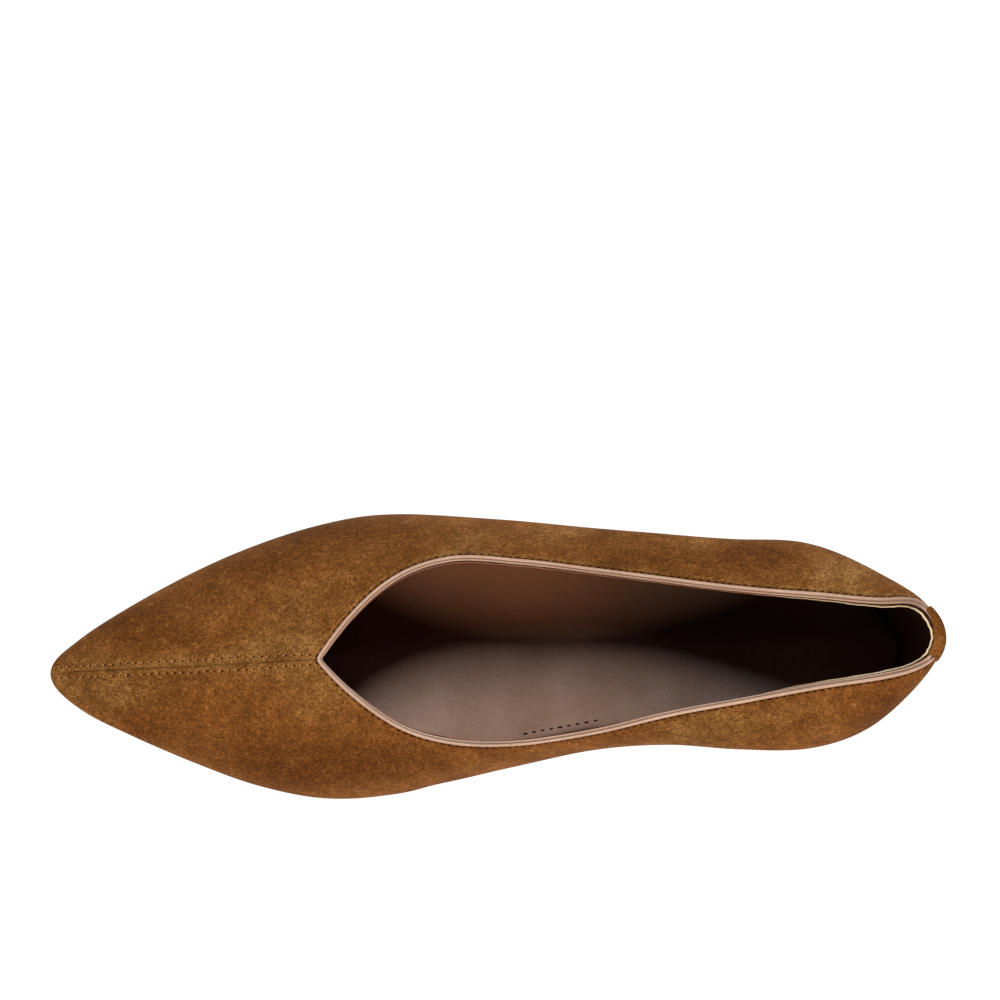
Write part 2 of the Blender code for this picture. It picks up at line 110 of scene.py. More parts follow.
def feed(node: bpy.types.Node, inputs: dict[str | int, object]) -> None:
    """Sets or links inputs of a node.

    Args:
        node: the node.
        inputs: for each input, by name or place, its value, or the socket that feeds it, or the
            node whose first output does.
    """
    for key, value in inputs.items():
        source = value.outputs[0] if isinstance(value, bpy.types.Node) else value
        if isinstance(source, bpy.types.NodeSocket):
            node.id_data.links.new(source, node.inputs[key])
        else:
            node.inputs[key].default_value = source


def add_node(
    tree: bpy.types.NodeTree,
    kind: str,
    inputs: dict[str | int, object] | None = None,
    **settings: object,
) -> bpy.types.Node:
    """Adds a node with its settings and links.

    Args:
        tree: the tree that gets the node.
        kind: type of the node.
        inputs: what its inputs get.
        settings: properties of the node.

    Returns:
        The new node.
    """
    made = tree.nodes.new(kind)
    for name, value in settings.items():
        setattr(made, name, value)
    feed(made, inputs or {})
    return made


def set_ramp(made: bpy.types.Node, places: Sequence[float], colours: Sequence[str]) -> None:
    """Sets the stops of a colour ramp node.

    Args:
        made: the node.
        places: places of the stops, in order.
        colours: their sRGB hex values.
    """
    ramp = made.color_ramp
    while len(ramp.elements) < len(places):
        ramp.elements.new(1.0)
    for element, place, colour in zip(ramp.elements, places, colours):
        element.position = place
        element.color = linear(colour)


def new_material(name: str) -> tuple[bpy.types.Material, bpy.types.NodeTree, bpy.types.Node]:
    """Starts a material.

    Args:
        name: what the real material is and how its surface was made.

    Returns:
        The material, its tree and its shader.
    """
    made = bpy.data.materials.new(name)
    made.use_nodes = True
    return made, made.node_tree, made.node_tree.nodes["Principled BSDF"]


def grid_quads(rows: int, columns: int, closed_rows: bool, closed_columns: bool) -> Array:
    """Faces of a grid of points that are stored row by row.

    Args:
        rows: number of rows.
        columns: number of points in a row.
        closed_rows: whether the last row joins the first.
        closed_columns: whether the last point of a row joins its first.

    Returns:
        Four point numbers for each face.
    """
    i = np.arange(rows if closed_rows else rows - 1)[:, None]
    j = np.arange(columns if closed_columns else columns - 1)[None, :]
    k = (i + 1) % rows
    m = (j + 1) % columns
    corners = [i * columns + j, k * columns + j, k * columns + m, i * columns + m]
    return np.stack([np.broadcast_to(c, (len(i), j.shape[1])) for c in corners], -1).reshape(-1, 4)


def solid_mesh(
    name: str,
    points: Array,
    quads: Array,
    caps: Sequence[Sequence[int]] = (),
    marks: dict[str, Array] | None = None,
) -> bpy.types.Mesh:
    """Makes a mesh whose points that coincide are one, with its faces turned one way.

    Args:
        name: name of the mesh.
        points: places in metres.
        quads: four point numbers for each face.
        caps: further faces of any length.
        marks: values for each point, kept with the mesh under their names.

    Returns:
        The mesh.
    """
    mesh = bpy.data.meshes.new(name)
    faces = quads.tolist() + [list(cap) for cap in caps]
    mesh.from_pydata(points.reshape(-1, 3).tolist(), [], faces)
    for key, values in (marks or {}).items():
        layer = mesh.attributes.new(key, "FLOAT", "POINT")
        layer.data.foreach_set("value", values.reshape(-1).astype(np.float32))
    work = bmesh.new()
    work.from_mesh(mesh)
    bmesh.ops.remove_doubles(work, verts=work.verts, dist=MERGE)
    bmesh.ops.dissolve_degenerate(work, edges=work.edges, dist=MERGE)
    bmesh.ops.recalc_face_normals(work, faces=work.faces)
    work.to_mesh(mesh)
    work.free()
    return mesh


def push_out(mesh: bpy.types.Mesh, heights: Array) -> None:
    """Turns the faces of an open shell outwards and moves its points along their normals.

    Args:
        mesh: the shell.
        heights: how far each point moves, in millimetres.
    """
    places = np.empty(len(mesh.vertices) * 3, np.float32)
    normals = np.empty_like(places)
    mesh.vertices.foreach_get("co", places)
    mesh.vertex_normals.foreach_get("vector", normals)
    middle = places.reshape(-1, 3).mean(axis=0)
    if np.sum((places.reshape(-1, 3) - middle) * normals.reshape(-1, 3)) < 0.0:
        mesh.flip_normals()
        normals = -normals
    mesh.vertices.foreach_set("co", places + normals * np.repeat(heights, 3) * MM)
    mesh.update()


def evaluated(holder: bpy.types.Object) -> bpy.types.Mesh:
    """Takes the mesh that an object's modifiers make, and removes the object.

    Args:
        holder: the object, with its modifiers set.

    Returns:
        The resulting mesh.
    """
    bpy.context.scene.collection.objects.link(holder)
    bpy.context.view_layer.update()
    graph = bpy.context.evaluated_depsgraph_get()
    result = bpy.data.meshes.new_from_object(holder.evaluated_get(graph))
    holder.modifiers.clear()
    bpy.data.objects.remove(holder, do_unlink=True)
    return result


def applied(mesh: bpy.types.Mesh, kind: str, **settings: object) -> bpy.types.Mesh:
    """Runs a modifier on a mesh and keeps its result.

    Args:
        mesh: what it works on.
        kind: type of the modifier.
        settings: its settings.

    Returns:
        The resulting mesh.
    """
    holder = bpy.data.objects.new(mesh.name + "_work", mesh)
    modifier = holder.modifiers.new(kind.lower(), kind)
    for name, value in settings.items():
        setattr(modifier, name, value)
    return evaluated(holder)


def rounded(mesh: bpy.types.Mesh, width: float, segments: int) -> bpy.types.Mesh:
    """Rounds the sharp edges of a mesh.

    Args:
        mesh: the mesh.
        width: how far the rounding reaches, in millimetres.
        segments: how many faces it has.

    Returns:
        The rounded mesh.
    """
    size = {"width": width * MM, "segments": segments}
    return applied(mesh, "BEVEL", limit_method="ANGLE", angle_limit=SHARP, **size)


def present(
    name: str,
    mesh: bpy.types.Mesh,
    finish: bpy.types.Material | None,
    stands_for: str | None = None,
) -> None:
    """Puts a finished piece in the scene and ties it to the frame.

    Args:
        name: name of the piece.
        mesh: its mesh, in place.
        finish: its material. None where the mesh already has it.
        stands_for: solid of the frame that it replaces.
    """
    mesh.name = name
    if finish:
        mesh.materials.clear()
        mesh.materials.append(finish)
    mesh.polygons.foreach_set("use_smooth", np.ones(len(mesh.polygons), dtype=bool))
    piece = bpy.data.objects.new(name, mesh)
    bpy.context.scene.collection.objects.link(piece)
    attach(piece, BODY)
    if stands_for:
        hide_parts(stands_for)
    mesh.calc_loop_triangles()
    LOG.info("%s: %d triangles", name, len(mesh.loop_triangles))


# The form of the shoe


class SoleRow(NamedTuple):
    """Section of the last at its sole.

    along is in hundredths of the length, medial and lateral in hundredths of the ball width and lift
    in hundredths of the heel height. flare, how far the wall swells past the sole edge on either
    side, and swell, how high its widest line lies over that edge, are in millimetres.
    """

    name: str
    along: float
    medial: float
    lateral: float
    lift: float
    flare_medial: float
    flare_lateral: float
    swell: float


class CrownRow(NamedTuple):
    """The same section at the crown, the line over the foot in which the two sides meet.

    along is in hundredths of the length, rise in hundredths of the instep height and aside in
    millimetres. ridge is the slope at which the sides meet and fullness the roundness of the wall.
    cut is the collar edge as a share of the way from the widest line to the crown.
    """

    name: str
    along: float
    rise: float
    aside: float
    ridge: float
    fullness_medial: float
    fullness_lateral: float
    cut_medial: float
    cut_lateral: float


SOLES = (
    SoleRow("seat_back", 0.0, 0.0, 0.0, 100.0, 3.5, 3.5, 18.0),
    SoleRow("seat_turn", 1.9, 13.9, 13.7, 99.1, 2.6, 2.4, 18.0),
    SoleRow("seat_corner", 6.0, 25.0, 24.9, 97.0, 3.0, 2.9, 18.0),
    SoleRow("seat_side", 12.2, 30.0, 31.7, 93.9, 3.6, 3.8, 18.0),
    SoleRow("seat_front", 20.0, 28.7, 32.9, 90.0, 4.4, 4.6, 17.0),
    SoleRow("waist_back", 28.0, 23.8, 32.6, 78.0, 6.7, 7.6, 16.0),
    SoleRow("waist", 36.4, 22.5, 34.2, 55.5, 8.4, 9.4, 15.0),
    SoleRow("waist_front", 45.2, 28.1, 38.9, 27.2, 7.6, 9.2, 15.3),
    SoleRow("joint", 53.2, 35.1, 45.0, 7.0, 5.8, 6.8, 14.4),
    SoleRow("ball", 60.4, 40.2, 47.9, 0.0, 4.9, 5.4, 12.0),
    SoleRow("throat", 67.6, 40.8, 45.2, 0.0, 4.6, 4.8, 11.0),
    SoleRow("toe_back", 74.8, 36.4, 39.2, 1.4, 4.3, 4.4, 10.0),
    SoleRow("toe_middle", 81.7, 28.9, 31.2, 5.0, 4.0, 4.0, 8.5),
    SoleRow("toe_front", 89.3, 19.4, 20.2, 10.5, 3.4, 3.4, 7.0),
    SoleRow("toe_round", 95.5, 10.0, 9.2, 15.5, 3.0, 3.0, 5.5),
    SoleRow("tip", 98.7, 0.0, 0.0, 18.0, 2.6, 2.6, 4.5),
)
CROWNS = (
    CrownRow("seat_back", 1.46, 246.0, 0.0, 0.05, 0.80, 0.80, 0.596, 0.596),
    CrownRow("seat_turn", 1.37, 242.0, 0.4, 0.05, 0.75, 0.87, 0.672, 0.586),
    CrownRow("seat_corner", 5.6, 230.0, 1.0, 0.05, 0.54, 0.51, 0.68, 0.666),
    CrownRow("seat_side", 12.4, 211.0, 1.2, 0.05, 0.42, 0.42, 0.65, 0.662),
    CrownRow("seat_front", 20.0, 194.0, 1.2, 0.05, 0.44, 0.40, 0.575, 0.61),
    CrownRow("waist_back", 28.0, 177.0, 1.3, 0.05, 0.60, 0.39, 0.50, 0.555),
    CrownRow("waist", 36.0, 163.0, 1.4, 0.05, 0.79, 0.44, 0.435, 0.53),
    CrownRow("waist_front", 44.0, 149.0, 1.6, 0.05, 0.77, 0.48, 0.445, 0.515),
    CrownRow("joint", 52.0, 134.0, 1.8, 0.05, 0.64, 0.52, 0.515, 0.53),
    CrownRow("ball", 60.2, 116.6, 1.95, 0.05, 0.56, 0.51, 0.68, 0.673),
    CrownRow("throat", 68.37, 100.0, 1.0, 0.05, 0.55, 0.55, 1.0, 1.0),
    CrownRow("toe_back", 75.3, 89.0, 0.7, 0.05, 0.55, 0.55, 1.0, 1.0),
    CrownRow("toe_middle", 82.2, 78.0, 0.4, 0.06, 0.55, 0.55, 1.0, 1.0),
    CrownRow("toe_front", 89.0, 66.0, 0.3, 0.12, 0.55, 0.55, 1.0, 1.0),
    CrownRow("toe_round", 94.0, 55.0, 0.2, 0.28, 0.55, 0.55, 1.0, 1.0),
    CrownRow("tip", 96.2, 49.0, 0.1, 0.50, 0.55, 0.55, 1.0, 1.0),
)


class RingRow(NamedTuple):
    """Outline of the heel at one height.

    share is the height between the top of the heel tip and the sole. back and breast are the ends
    along the shoe and half is half the width, in millimetres.
    """

    share: float
    back: float
    breast: float
    half: float


RINGS = (
    RingRow(0.00, 18.4, 29.8, 6.6),
    RingRow(0.10, 17.9, 29.8, 6.9),
    RingRow(0.24, 16.2, 30.2, 8.0),
    RingRow(0.42, 13.0, 31.6, 10.4),
    RingRow(0.60, 8.8, 34.2, 14.2),
    RingRow(0.74, 4.8, 37.2, 18.6),
    RingRow(0.86, 2.0, 40.8, 22.4),
    RingRow(0.93, 0.7, 43.6, 23.6),
    RingRow(1.00, 0.0, 47.0, 24.6),
)


def steady_slopes(places: Array, heights: Array) -> Array:
    """Slopes that let a curve through the heights rise, fall or stay level just as they do.

    Args:
        places: rising places of the heights.
        heights: what the curve passes through.

    Returns:
        The slope at each place.
    """
    run = np.diff(places)
    rise = np.diff(heights) / run
    slopes = np.zeros(len(places))
    slopes[0] = rise[0]
    slopes[-1] = rise[-1]
    for i in range(1, len(rise)):
        if rise[i - 1] * rise[i] > 0.0:
            near = 2.0 * run[i] + run[i - 1]
            far = run[i] + 2.0 * run[i - 1]
            slopes[i] = (near + far) / (near / rise[i - 1] + far / rise[i])
    return slopes


def steady_curve(places: Array, heights: Array, at: Array) -> Array:
    """Value of the curve with steady slopes, straight on past its ends.

    Args:
        places: rising places of the heights.
        heights: what the curve passes through.
        at: where it is read.

    Returns:
        The values, in the shape of at.
    """
    slopes = steady_slopes(places, heights)
    inside = np.clip(at, places[0], places[-1])
    i = np.clip(np.searchsorted(places, inside) - 1, 0, len(places) - 2)
    run = places[i + 1] - places[i]
    t = (inside - places[i]) / run
    value = heights[i] + (heights[i + 1] - heights[i]) * (3.0 - 2.0 * t) * t * t
    value = value + run * (slopes[i] * t * (1.0 - t) ** 2 - slopes[i + 1] * t * t * (1.0 - t))
    beyond = at - inside
    return value + np.where(beyond < 0.0, slopes[0], slopes[-1]) * beyond


def join(plan: Array, height: Array) -> Array:
    """Points from places in plan and heights."""
    return np.concatenate([plan, height[..., None]], axis=-1)


def unit(vectors: Array) -> Array:
    """Vectors of length one."""
    return vectors / np.linalg.norm(vectors, axis=-1, keepdims=True)


def bell(distance: Array, width: float) -> Array:
    """Soft peak: 1 where the distance is 0, and nearly nothing two widths away."""
    return np.exp(-((distance / width) ** 2))


def between(left: Array, right: Array, share: Array) -> Array:
    """Places in plan at these shares of the way from each point of an edge to the other edge."""
    return left[:, None] + (right - left)[:, None] * share[:, None]


def plate(top: Array, under: Array) -> tuple[Array, Array]:
    """Closed plate between two faces.

    Args:
        top: grid of points of the upper face.
        under: grid of points of the lower face.

    Returns:
        Its points and faces.
    """
    points = np.concatenate([top, under[:, ::-1]], axis=1)
    return points, grid_quads(*points.shape[:2], False, True)


@dataclass
class Last:
    """The form that the shoe is pulled over, with its wall as one smooth surface.

    A station is a place on the way round the shoe, from the tip along the inner side to the back and
    on along the outer side. A way is a place on the wall there: 0 at the sole edge, 1 at the widest
    line and 2 at the crown.
    """

    length: float = 250.0
    ball_width: float = 84.0
    instep_height: float = 44.5
    heel_height: float = 45.0
    wall: float = 1.8
    sole: float = 3.2
    seat_sole: float = 1.4
    fit: float = 0.3
    sole_margin: float = 1.2
    seat_margin: float = 0.8
    seat_end: float = 50.0
    waist_start: float = 80.0
    insole_edge: float = 1.6
    notch_pull: float = 1.26
    nearby: float = 0.01
    search: int = 200
    columns: dict[str, tuple[Array, Array, Array]] = field(init=False, default_factory=dict)

    def __post_init__(self) -> None:
        """Turns the tables into columns once round the shoe, and finds where the frame has it."""
        self.tip = len(SOLES) - 1
        self.round = 2 * self.tip
        throat = [row.name for row in SOLES].index("throat")
        self.throats = (self.tip - throat, self.tip + throat)
        sizes = (self.length, self.ball_width, self.instep_height, self.heel_height)
        length, width, rise, lift = (size / 100.0 for size in sizes)
        self.add_column("along", SOLES, ("along", "along"), (length, length))
        self.add_column("aside", SOLES, ("medial", "lateral"), (-width, width))
        self.add_column("flare", SOLES, ("flare_medial", "flare_lateral"))
        self.add_column("swell", SOLES, ("swell", "swell"))
        self.add_column("crown_along", CROWNS, ("along", "along"), (length, length))
        self.add_column("crown_rise", CROWNS, ("rise", "rise"), (rise, rise))
        self.add_column("crown_aside", CROWNS, ("aside", "aside"))
        self.add_column("ridge", CROWNS, ("ridge", "ridge"))
        self.add_column("fullness", CROWNS, ("fullness_medial", "fullness_lateral"))
        self.add_column("cut", CROWNS, ("cut_medial", "cut_lateral"), corners=self.throats)
        self.lift_places = np.array([row.along for row in SOLES]) * length
        self.lift_heights = np.array([row.lift for row in SOLES]) * lift
        low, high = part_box("heel_tip")
        foot = RINGS[0]
        self.shift = (low + high) / 2.0 + Vector(((foot.back + foot.breast) / 2.0 * MM, 0.0, 0.0))

    def add_column(
        self,
        name: str,
        rows: Sequence[NamedTuple],
        sides: tuple[str, str],
        units: tuple[float, float] = (1.0, 1.0),
        corners: Sequence[int] = (),
    ) -> None:
        """Stores a column of a table with the slopes of the smooth closed curve through it.

        Args:
            name: name of the column.
            rows: the table.
            sides: fields that hold the inner and the outer side.
            units: what each side is multiplied by.
            corners: rows at which the curve turns sharply.
        """
        inner = [getattr(row, sides[0]) * units[0] for row in rows]
        outer = [getattr(row, sides[1]) * units[1] for row in rows]
        values = np.array(inner[:0:-1] + outer[: self.tip])
        ahead = np.roll(values, -1) - values
        behind = values - np.roll(values, 1)
        leave = (ahead + behind) / 2.0
        arrive = leave.copy()
        for corner in corners:
            leave[corner] = self.notch_pull * ahead[corner]
            arrive[corner] = self.notch_pull * behind[corner]
        self.columns[name] = (values, leave, arrive)

    def curve(self, name: str, station: Array) -> Array:
        """Reads a column.

        Args:
            name: name of the column.
            station: places round the shoe.

        Returns:
            Its values there.
        """
        values, leave, arrive = self.columns[name]
        row = np.floor(station).astype(int)
        t = station - row
        here = row % self.round
        there = (row + 1) % self.round
        smooth = values[here] + (values[there] - values[here]) * (3.0 - 2.0 * t) * t * t
        return smooth + leave[here] * t * (1.0 - t) ** 2 - arrive[there] * t * t * (1.0 - t)

    def stations(self, first: int, last: int, steps: int, turn_steps: int) -> Array:
        """Places on the way round the shoe.

        Args:
            first: section to start from.
            last: section to end at, which is left out.
            steps: divisions of a section.
            turn_steps: the same where the shoe turns round its back and its tip.

        Returns:
            The stations.
        """
        places: list[float] = []
        for row in range(first, last):
            count = turn_steps if row % self.tip in (0, self.tip - 1) else steps
            places.extend(row + np.arange(count) / count)
        return np.array(places)

    def lift(self, along: Array) -> Array:
        """Height over the floor of the sole's lower face, where it has its full thickness."""
        return steady_curve(self.lift_places, self.lift_heights, along)

    def underside(self, along: Array) -> Array:
        """Height of the outsole's lower face, which lies higher where the outsole is thin."""
        thick = np.interp(along, (self.seat_end, self.waist_start), (self.seat_sole, self.sole))
        return self.lift(along) + self.sole - thick

    def margin(self, along: Array) -> Array:
        """How far the outsole reaches past the line where the upper turns under."""
        ends = (self.seat_margin, self.sole_margin)
        return np.interp(along, (self.seat_end, self.waist_start), ends)

    def seat_level(self, along: Array) -> Array:
        """Height of the line where the wall turns under."""
        return self.lift(along) + self.sole + self.fit

    def sole_edge(self, station: Array) -> tuple[Array, Array]:
        """Line in plan where the wall turns under.

        Args:
            station: places round the shoe.

        Returns:
            Points and the outward directions there.
        """
        ends = (station, station + self.nearby)
        here, on = (np.stack([self.curve(c, s) for c in ("along", "aside")], -1) for s in ends)
        step = on - here
        return here, unit(np.stack([-step[..., 1], step[..., 0]], -1))

    def surface(self, station: Array, way: Array) -> Array:
        """Points of the outer wall.

        Args:
            station: places round the shoe.
            way: places on the wall, in a shape that goes with the stations.

        Returns:
            Points along, aside and up.
        """
        station, way = np.broadcast_arrays(np.asarray(station, float), np.asarray(way, float))
        edge, out = self.sole_edge(station)
        low = self.seat_level(edge[..., 0])
        reach = out * self.curve("flare", station)[..., None]
        swell = self.curve("swell", station)
        turn = np.clip(way, 0.0, 1.0) * math.pi / 2.0
        under = join(edge + reach * np.sin(turn)[..., None], low + swell * (1.0 - np.cos(turn)))
        widest = join(edge + reach, low + swell)
        crown_names = ("crown_along", "crown_aside", "crown_rise")
        crown = np.stack([self.curve(name, station) for name in crown_names], -1)
        fullness = self.curve("fullness", station)
        across = widest[..., :2] - crown[..., :2]
        rising = widest.copy()
        rising[..., 2] += fullness * (crown[..., 2] - widest[..., 2])
        fall = self.curve("ridge", station) * fullness * np.linalg.norm(across, axis=-1)
        level = crown + join(across * fullness[..., None], -fall)
        t = np.clip(way - 1.0, 0.0, 1.0)[..., None]
        s = 1.0 - t
        over = s**3 * widest + 3.0 * s * s * t * rising + 3.0 * s * t * t * level + t**3 * crown
        return np.where((way <= 1.0)[..., None], under, over)

    def outward(self, station: Array, way: Array) -> Array:
        """Directions away from the foot.

        Args:
            station: places round the shoe.
            way: places on the wall.

        Returns:
            Unit normals of the wall.
        """
        low = np.where(way < self.nearby, way, way - self.nearby)
        up = self.surface(station, low + self.nearby) - self.surface(station, low)
        on = self.surface(station + self.nearby, way) - self.surface(station - self.nearby, way)
        return unit(np.cross(up, on))

    def collar(self, station: Array) -> Array:
        """Ways of the wall's upper edge: the collar, or the seam of the closed vamp."""
        return 1.0 + np.minimum(self.curve("cut", station), 1.0)

    def ways_below(self, station: Array, drops: Array) -> Array:
        """Ways of the points that lie some distances down the wall from its upper edge.

        Args:
            station: places round the shoe.
            drops: distances along the wall, the same for every station.

        Returns:
            A row of ways for each station.
        """
        places = self.collar(station)[:, None] * np.linspace(1.0, 0.0, self.search)
        points = self.surface(station[:, None], places)
        steps = np.linalg.norm(np.diff(points, axis=1), axis=-1)
        lengths = np.concatenate([np.zeros((len(station), 1)), np.cumsum(steps, axis=1)], axis=1)
        return np.array([np.interp(drops, run, way) for run, way in zip(lengths, places)])

    def wall_ways(self, station: Array, low: Array, rows: int, drops: Array) -> Array:
        """Ways that divide the wall from the sole edge to its upper edge.

        Args:
            station: places round the shoe.
            low: ways up to the widest line.
            rows: number of rows from there on.
            drops: distances down from the upper edge of the last rows.

        Returns:
            A row of ways for each station.
        """
        fine = self.ways_below(station, drops)
        turn = np.broadcast_to(low, (len(station), len(low)))
        wall = 1.0 + (fine[:, :1] - 1.0) * np.linspace(0.0, 1.0, rows, endpoint=False)
        return np.concatenate([turn, wall, fine], 1)

    def collar_frames(self, station: Array) -> tuple[Array, Array, Array]:
        """Points of the collar edge with the directions out of the wall and on past the edge.

        The last direction is lengthened at the notch, where the two sides meet in a mitre.

        Args:
            station: places from the throat right round to the throat.

        Returns:
            Points, outward directions and directions past the edge.
        """
        way = self.collar(station)
        points = self.surface(station, way)
        outs = self.outward(station, way)
        towards = unit(np.roll(points, -1, axis=0) - points)
        beyond = np.cross(towards, outs)
        middle = unit(beyond + np.cross(np.roll(towards, 1, axis=0), outs))
        return points, outs, middle / np.sum(middle * beyond, axis=-1, keepdims=True)

    def pairs(self, steps: int, turn_steps: int) -> tuple[Array, Array]:
        """Stations that lie across from each other.

        Args:
            steps: divisions of a section.
            turn_steps: the same where the shoe turns round its back and its tip.

        Returns:
            Those of the inner and of the outer side.
        """
        ahead = self.stations(self.tip, self.round, steps, turn_steps) - self.tip
        ahead = np.append(ahead, self.tip)
        return self.tip - ahead, self.tip + ahead

    def world(self, points: Array) -> Array:
        """Places in the frame, in metres."""
        return points * np.array([-MM, MM, MM]) + np.array([self.shift.x, self.shift.y, 0.0])


# Finishes


class Grain(NamedTuple):
    """Layer of an uneven surface: size of its features in millimetres, and how much it shows."""

    size_mm: float
    share: float
    detail: float
    distortion: float


@dataclass(frozen=True)
class Suede:
    """Split cow leather, dyed and buffed to a nap: matt, cloudy where the nap lies another way."""

    name: str = "cow suede dyed cognac and buffed to a nap"
    tone_places: tuple[float, ...] = (0.10, 0.36, 0.52, 0.68, 0.92)
    level: tuple[str, ...] = ("45240C", "623A13", "75461C", "8A5727", "AC7A42")
    # Tones of stroked down nap, and of the painted shade in the darker spots along the outline
    stroked_down_and_shaded: tuple[str, ...] = ("371A06", "4F2A0B", "5F3510", "72441A", "90602F")
    brushed: tuple[str, ...] = ("4B2D11", "6A441C", "82582B", "9A6E3D", "BC915C")
    # The two finest layers are drawn coarser than real fibres, which are finer than a pixel.
    grains: tuple[Grain, ...] = (
        Grain(26.0, 0.40, 2.0, 0.0),
        Grain(7.0, 0.45, 3.0, 0.4),
        Grain(2.4, 0.34, 2.0, 0.3),
        Grain(1.0, 0.62, 2.0, 0.6),
        Grain(0.5, 0.74, 1.0, 0.3),
    )
    cloud: tuple[float, float] = (1.6, 0.2)  # how the second layer breaks the brushed places up
    ragged: tuple[float, float] = (3.0, -1.0)  # how the fourth breaks the seam's edges up
    press_and_shade_darkening: float = 0.75  # how dark the suede is where the mark called pressed_and_shaded is 1: partly flattened nap, partly painted shade in the seam's furrow and beside the bound edge
    nap_depth_mm: float = 0.3
    nap_strength: float = 0.8
    roughness: float = 0.95
    specular: float = 0.1
    sheen: float = 0.10
    sheen_roughness: float = 0.6
    sheen_colour: str = "C99A66"

    def material(self) -> bpy.types.Material:
        """Builds the material.

        It reads two marks. nap is positive where the nap was brushed up, and negative where
        it was stroked down and where painted shade darkens the outline. pressed_and_shaded is set where
        a seam presses it flat, with painted shade in the seam's furrow and beside the bound edge.

        Returns:
            The material.
        """
        made, tree, shader = new_material(self.name)
        place = add_node(tree, "ShaderNodeTexCoord").outputs["Object"]
        total: object = 0.5 - 0.5 * sum(grain.share for grain in self.grains)
        layers = []
        for grain in self.grains:
            scale = per_metre(grain.size_mm)
            pattern = {"Scale": scale, "Detail": grain.detail, "Distortion": grain.distortion}
            layers.append(add_node(tree, NOISE, {"Vector": place, **pattern}))
            added = {0: layers[-1], 1: grain.share, 2: total}
            total = add_node(tree, MATH, added, operation="MULTIPLY_ADD")
        nap = add_node(tree, MARK, attribute_name="nap").outputs["Fac"]
        broken = {0: layers[1], 1: self.cloud[0], 2: self.cloud[1]}
        cloud = add_node(tree, MATH, broken, operation="MULTIPLY_ADD")
        uneven = add_node(tree, MATH, {0: nap, 1: cloud}, operation="MULTIPLY")
        ramps = []
        for colours in (self.level, self.stroked_down_and_shaded, self.brushed):
            ramps.append(add_node(tree, "ShaderNodeValToRGB", {"Fac": total}))
            set_ramp(ramps[-1], self.tone_places, colours)
        tone = ramps[0].outputs["Color"]
        for sense, ramp in zip((-1.0, 1.0), ramps[1:]):
            signed = {0: uneven, 1: sense}
            patch = add_node(tree, MATH, signed, operation="MULTIPLY", use_clamp=True)
            mixed = {"Factor": patch, 6: tone, 7: ramp}
            tone = add_node(tree, "ShaderNodeMix", mixed, data_type="RGBA").outputs[2]
        # Darker where a seam or the bound edge presses the nap flat, with painted shade in the seam's
        # furrow and beside the bound edge
        pressed_and_shaded = add_node(tree, MARK, attribute_name="pressed_and_shaded").outputs["Fac"]
        broken = {0: layers[3], 1: self.ragged[0], 2: self.ragged[1]}
        ragged = add_node(tree, MATH, broken, operation="MULTIPLY_ADD", use_clamp=True)
        darker = add_node(tree, MATH, {0: pressed_and_shaded, 1: ragged}, operation="MULTIPLY")
        kept = add_node(tree, MATH, {0: darker, 1: -self.press_and_shade_darkening, 2: 1.0}, operation="MULTIPLY_ADD")
        coloured = add_node(tree, VECTOR_MATH, {0: tone, "Scale": kept}, operation="SCALE")
        fuzz = add_node(tree, MATH, {0: layers[-2], 1: layers[-1]}, operation="ADD")
        depth = {"Strength": self.nap_strength, "Distance": self.nap_depth_mm * MM}
        bump = add_node(tree, "ShaderNodeBump", {"Height": fuzz, **depth})
        feed(shader, {"Base Color": coloured, "Normal": bump, "Roughness": self.roughness})
        feed(shader, {"Specular IOR Level": self.specular, "Sheen Weight": self.sheen})
        feed(shader, {"Sheen Roughness": self.sheen_roughness})
        feed(shader, {"Sheen Tint": linear(self.sheen_colour)})
        return made


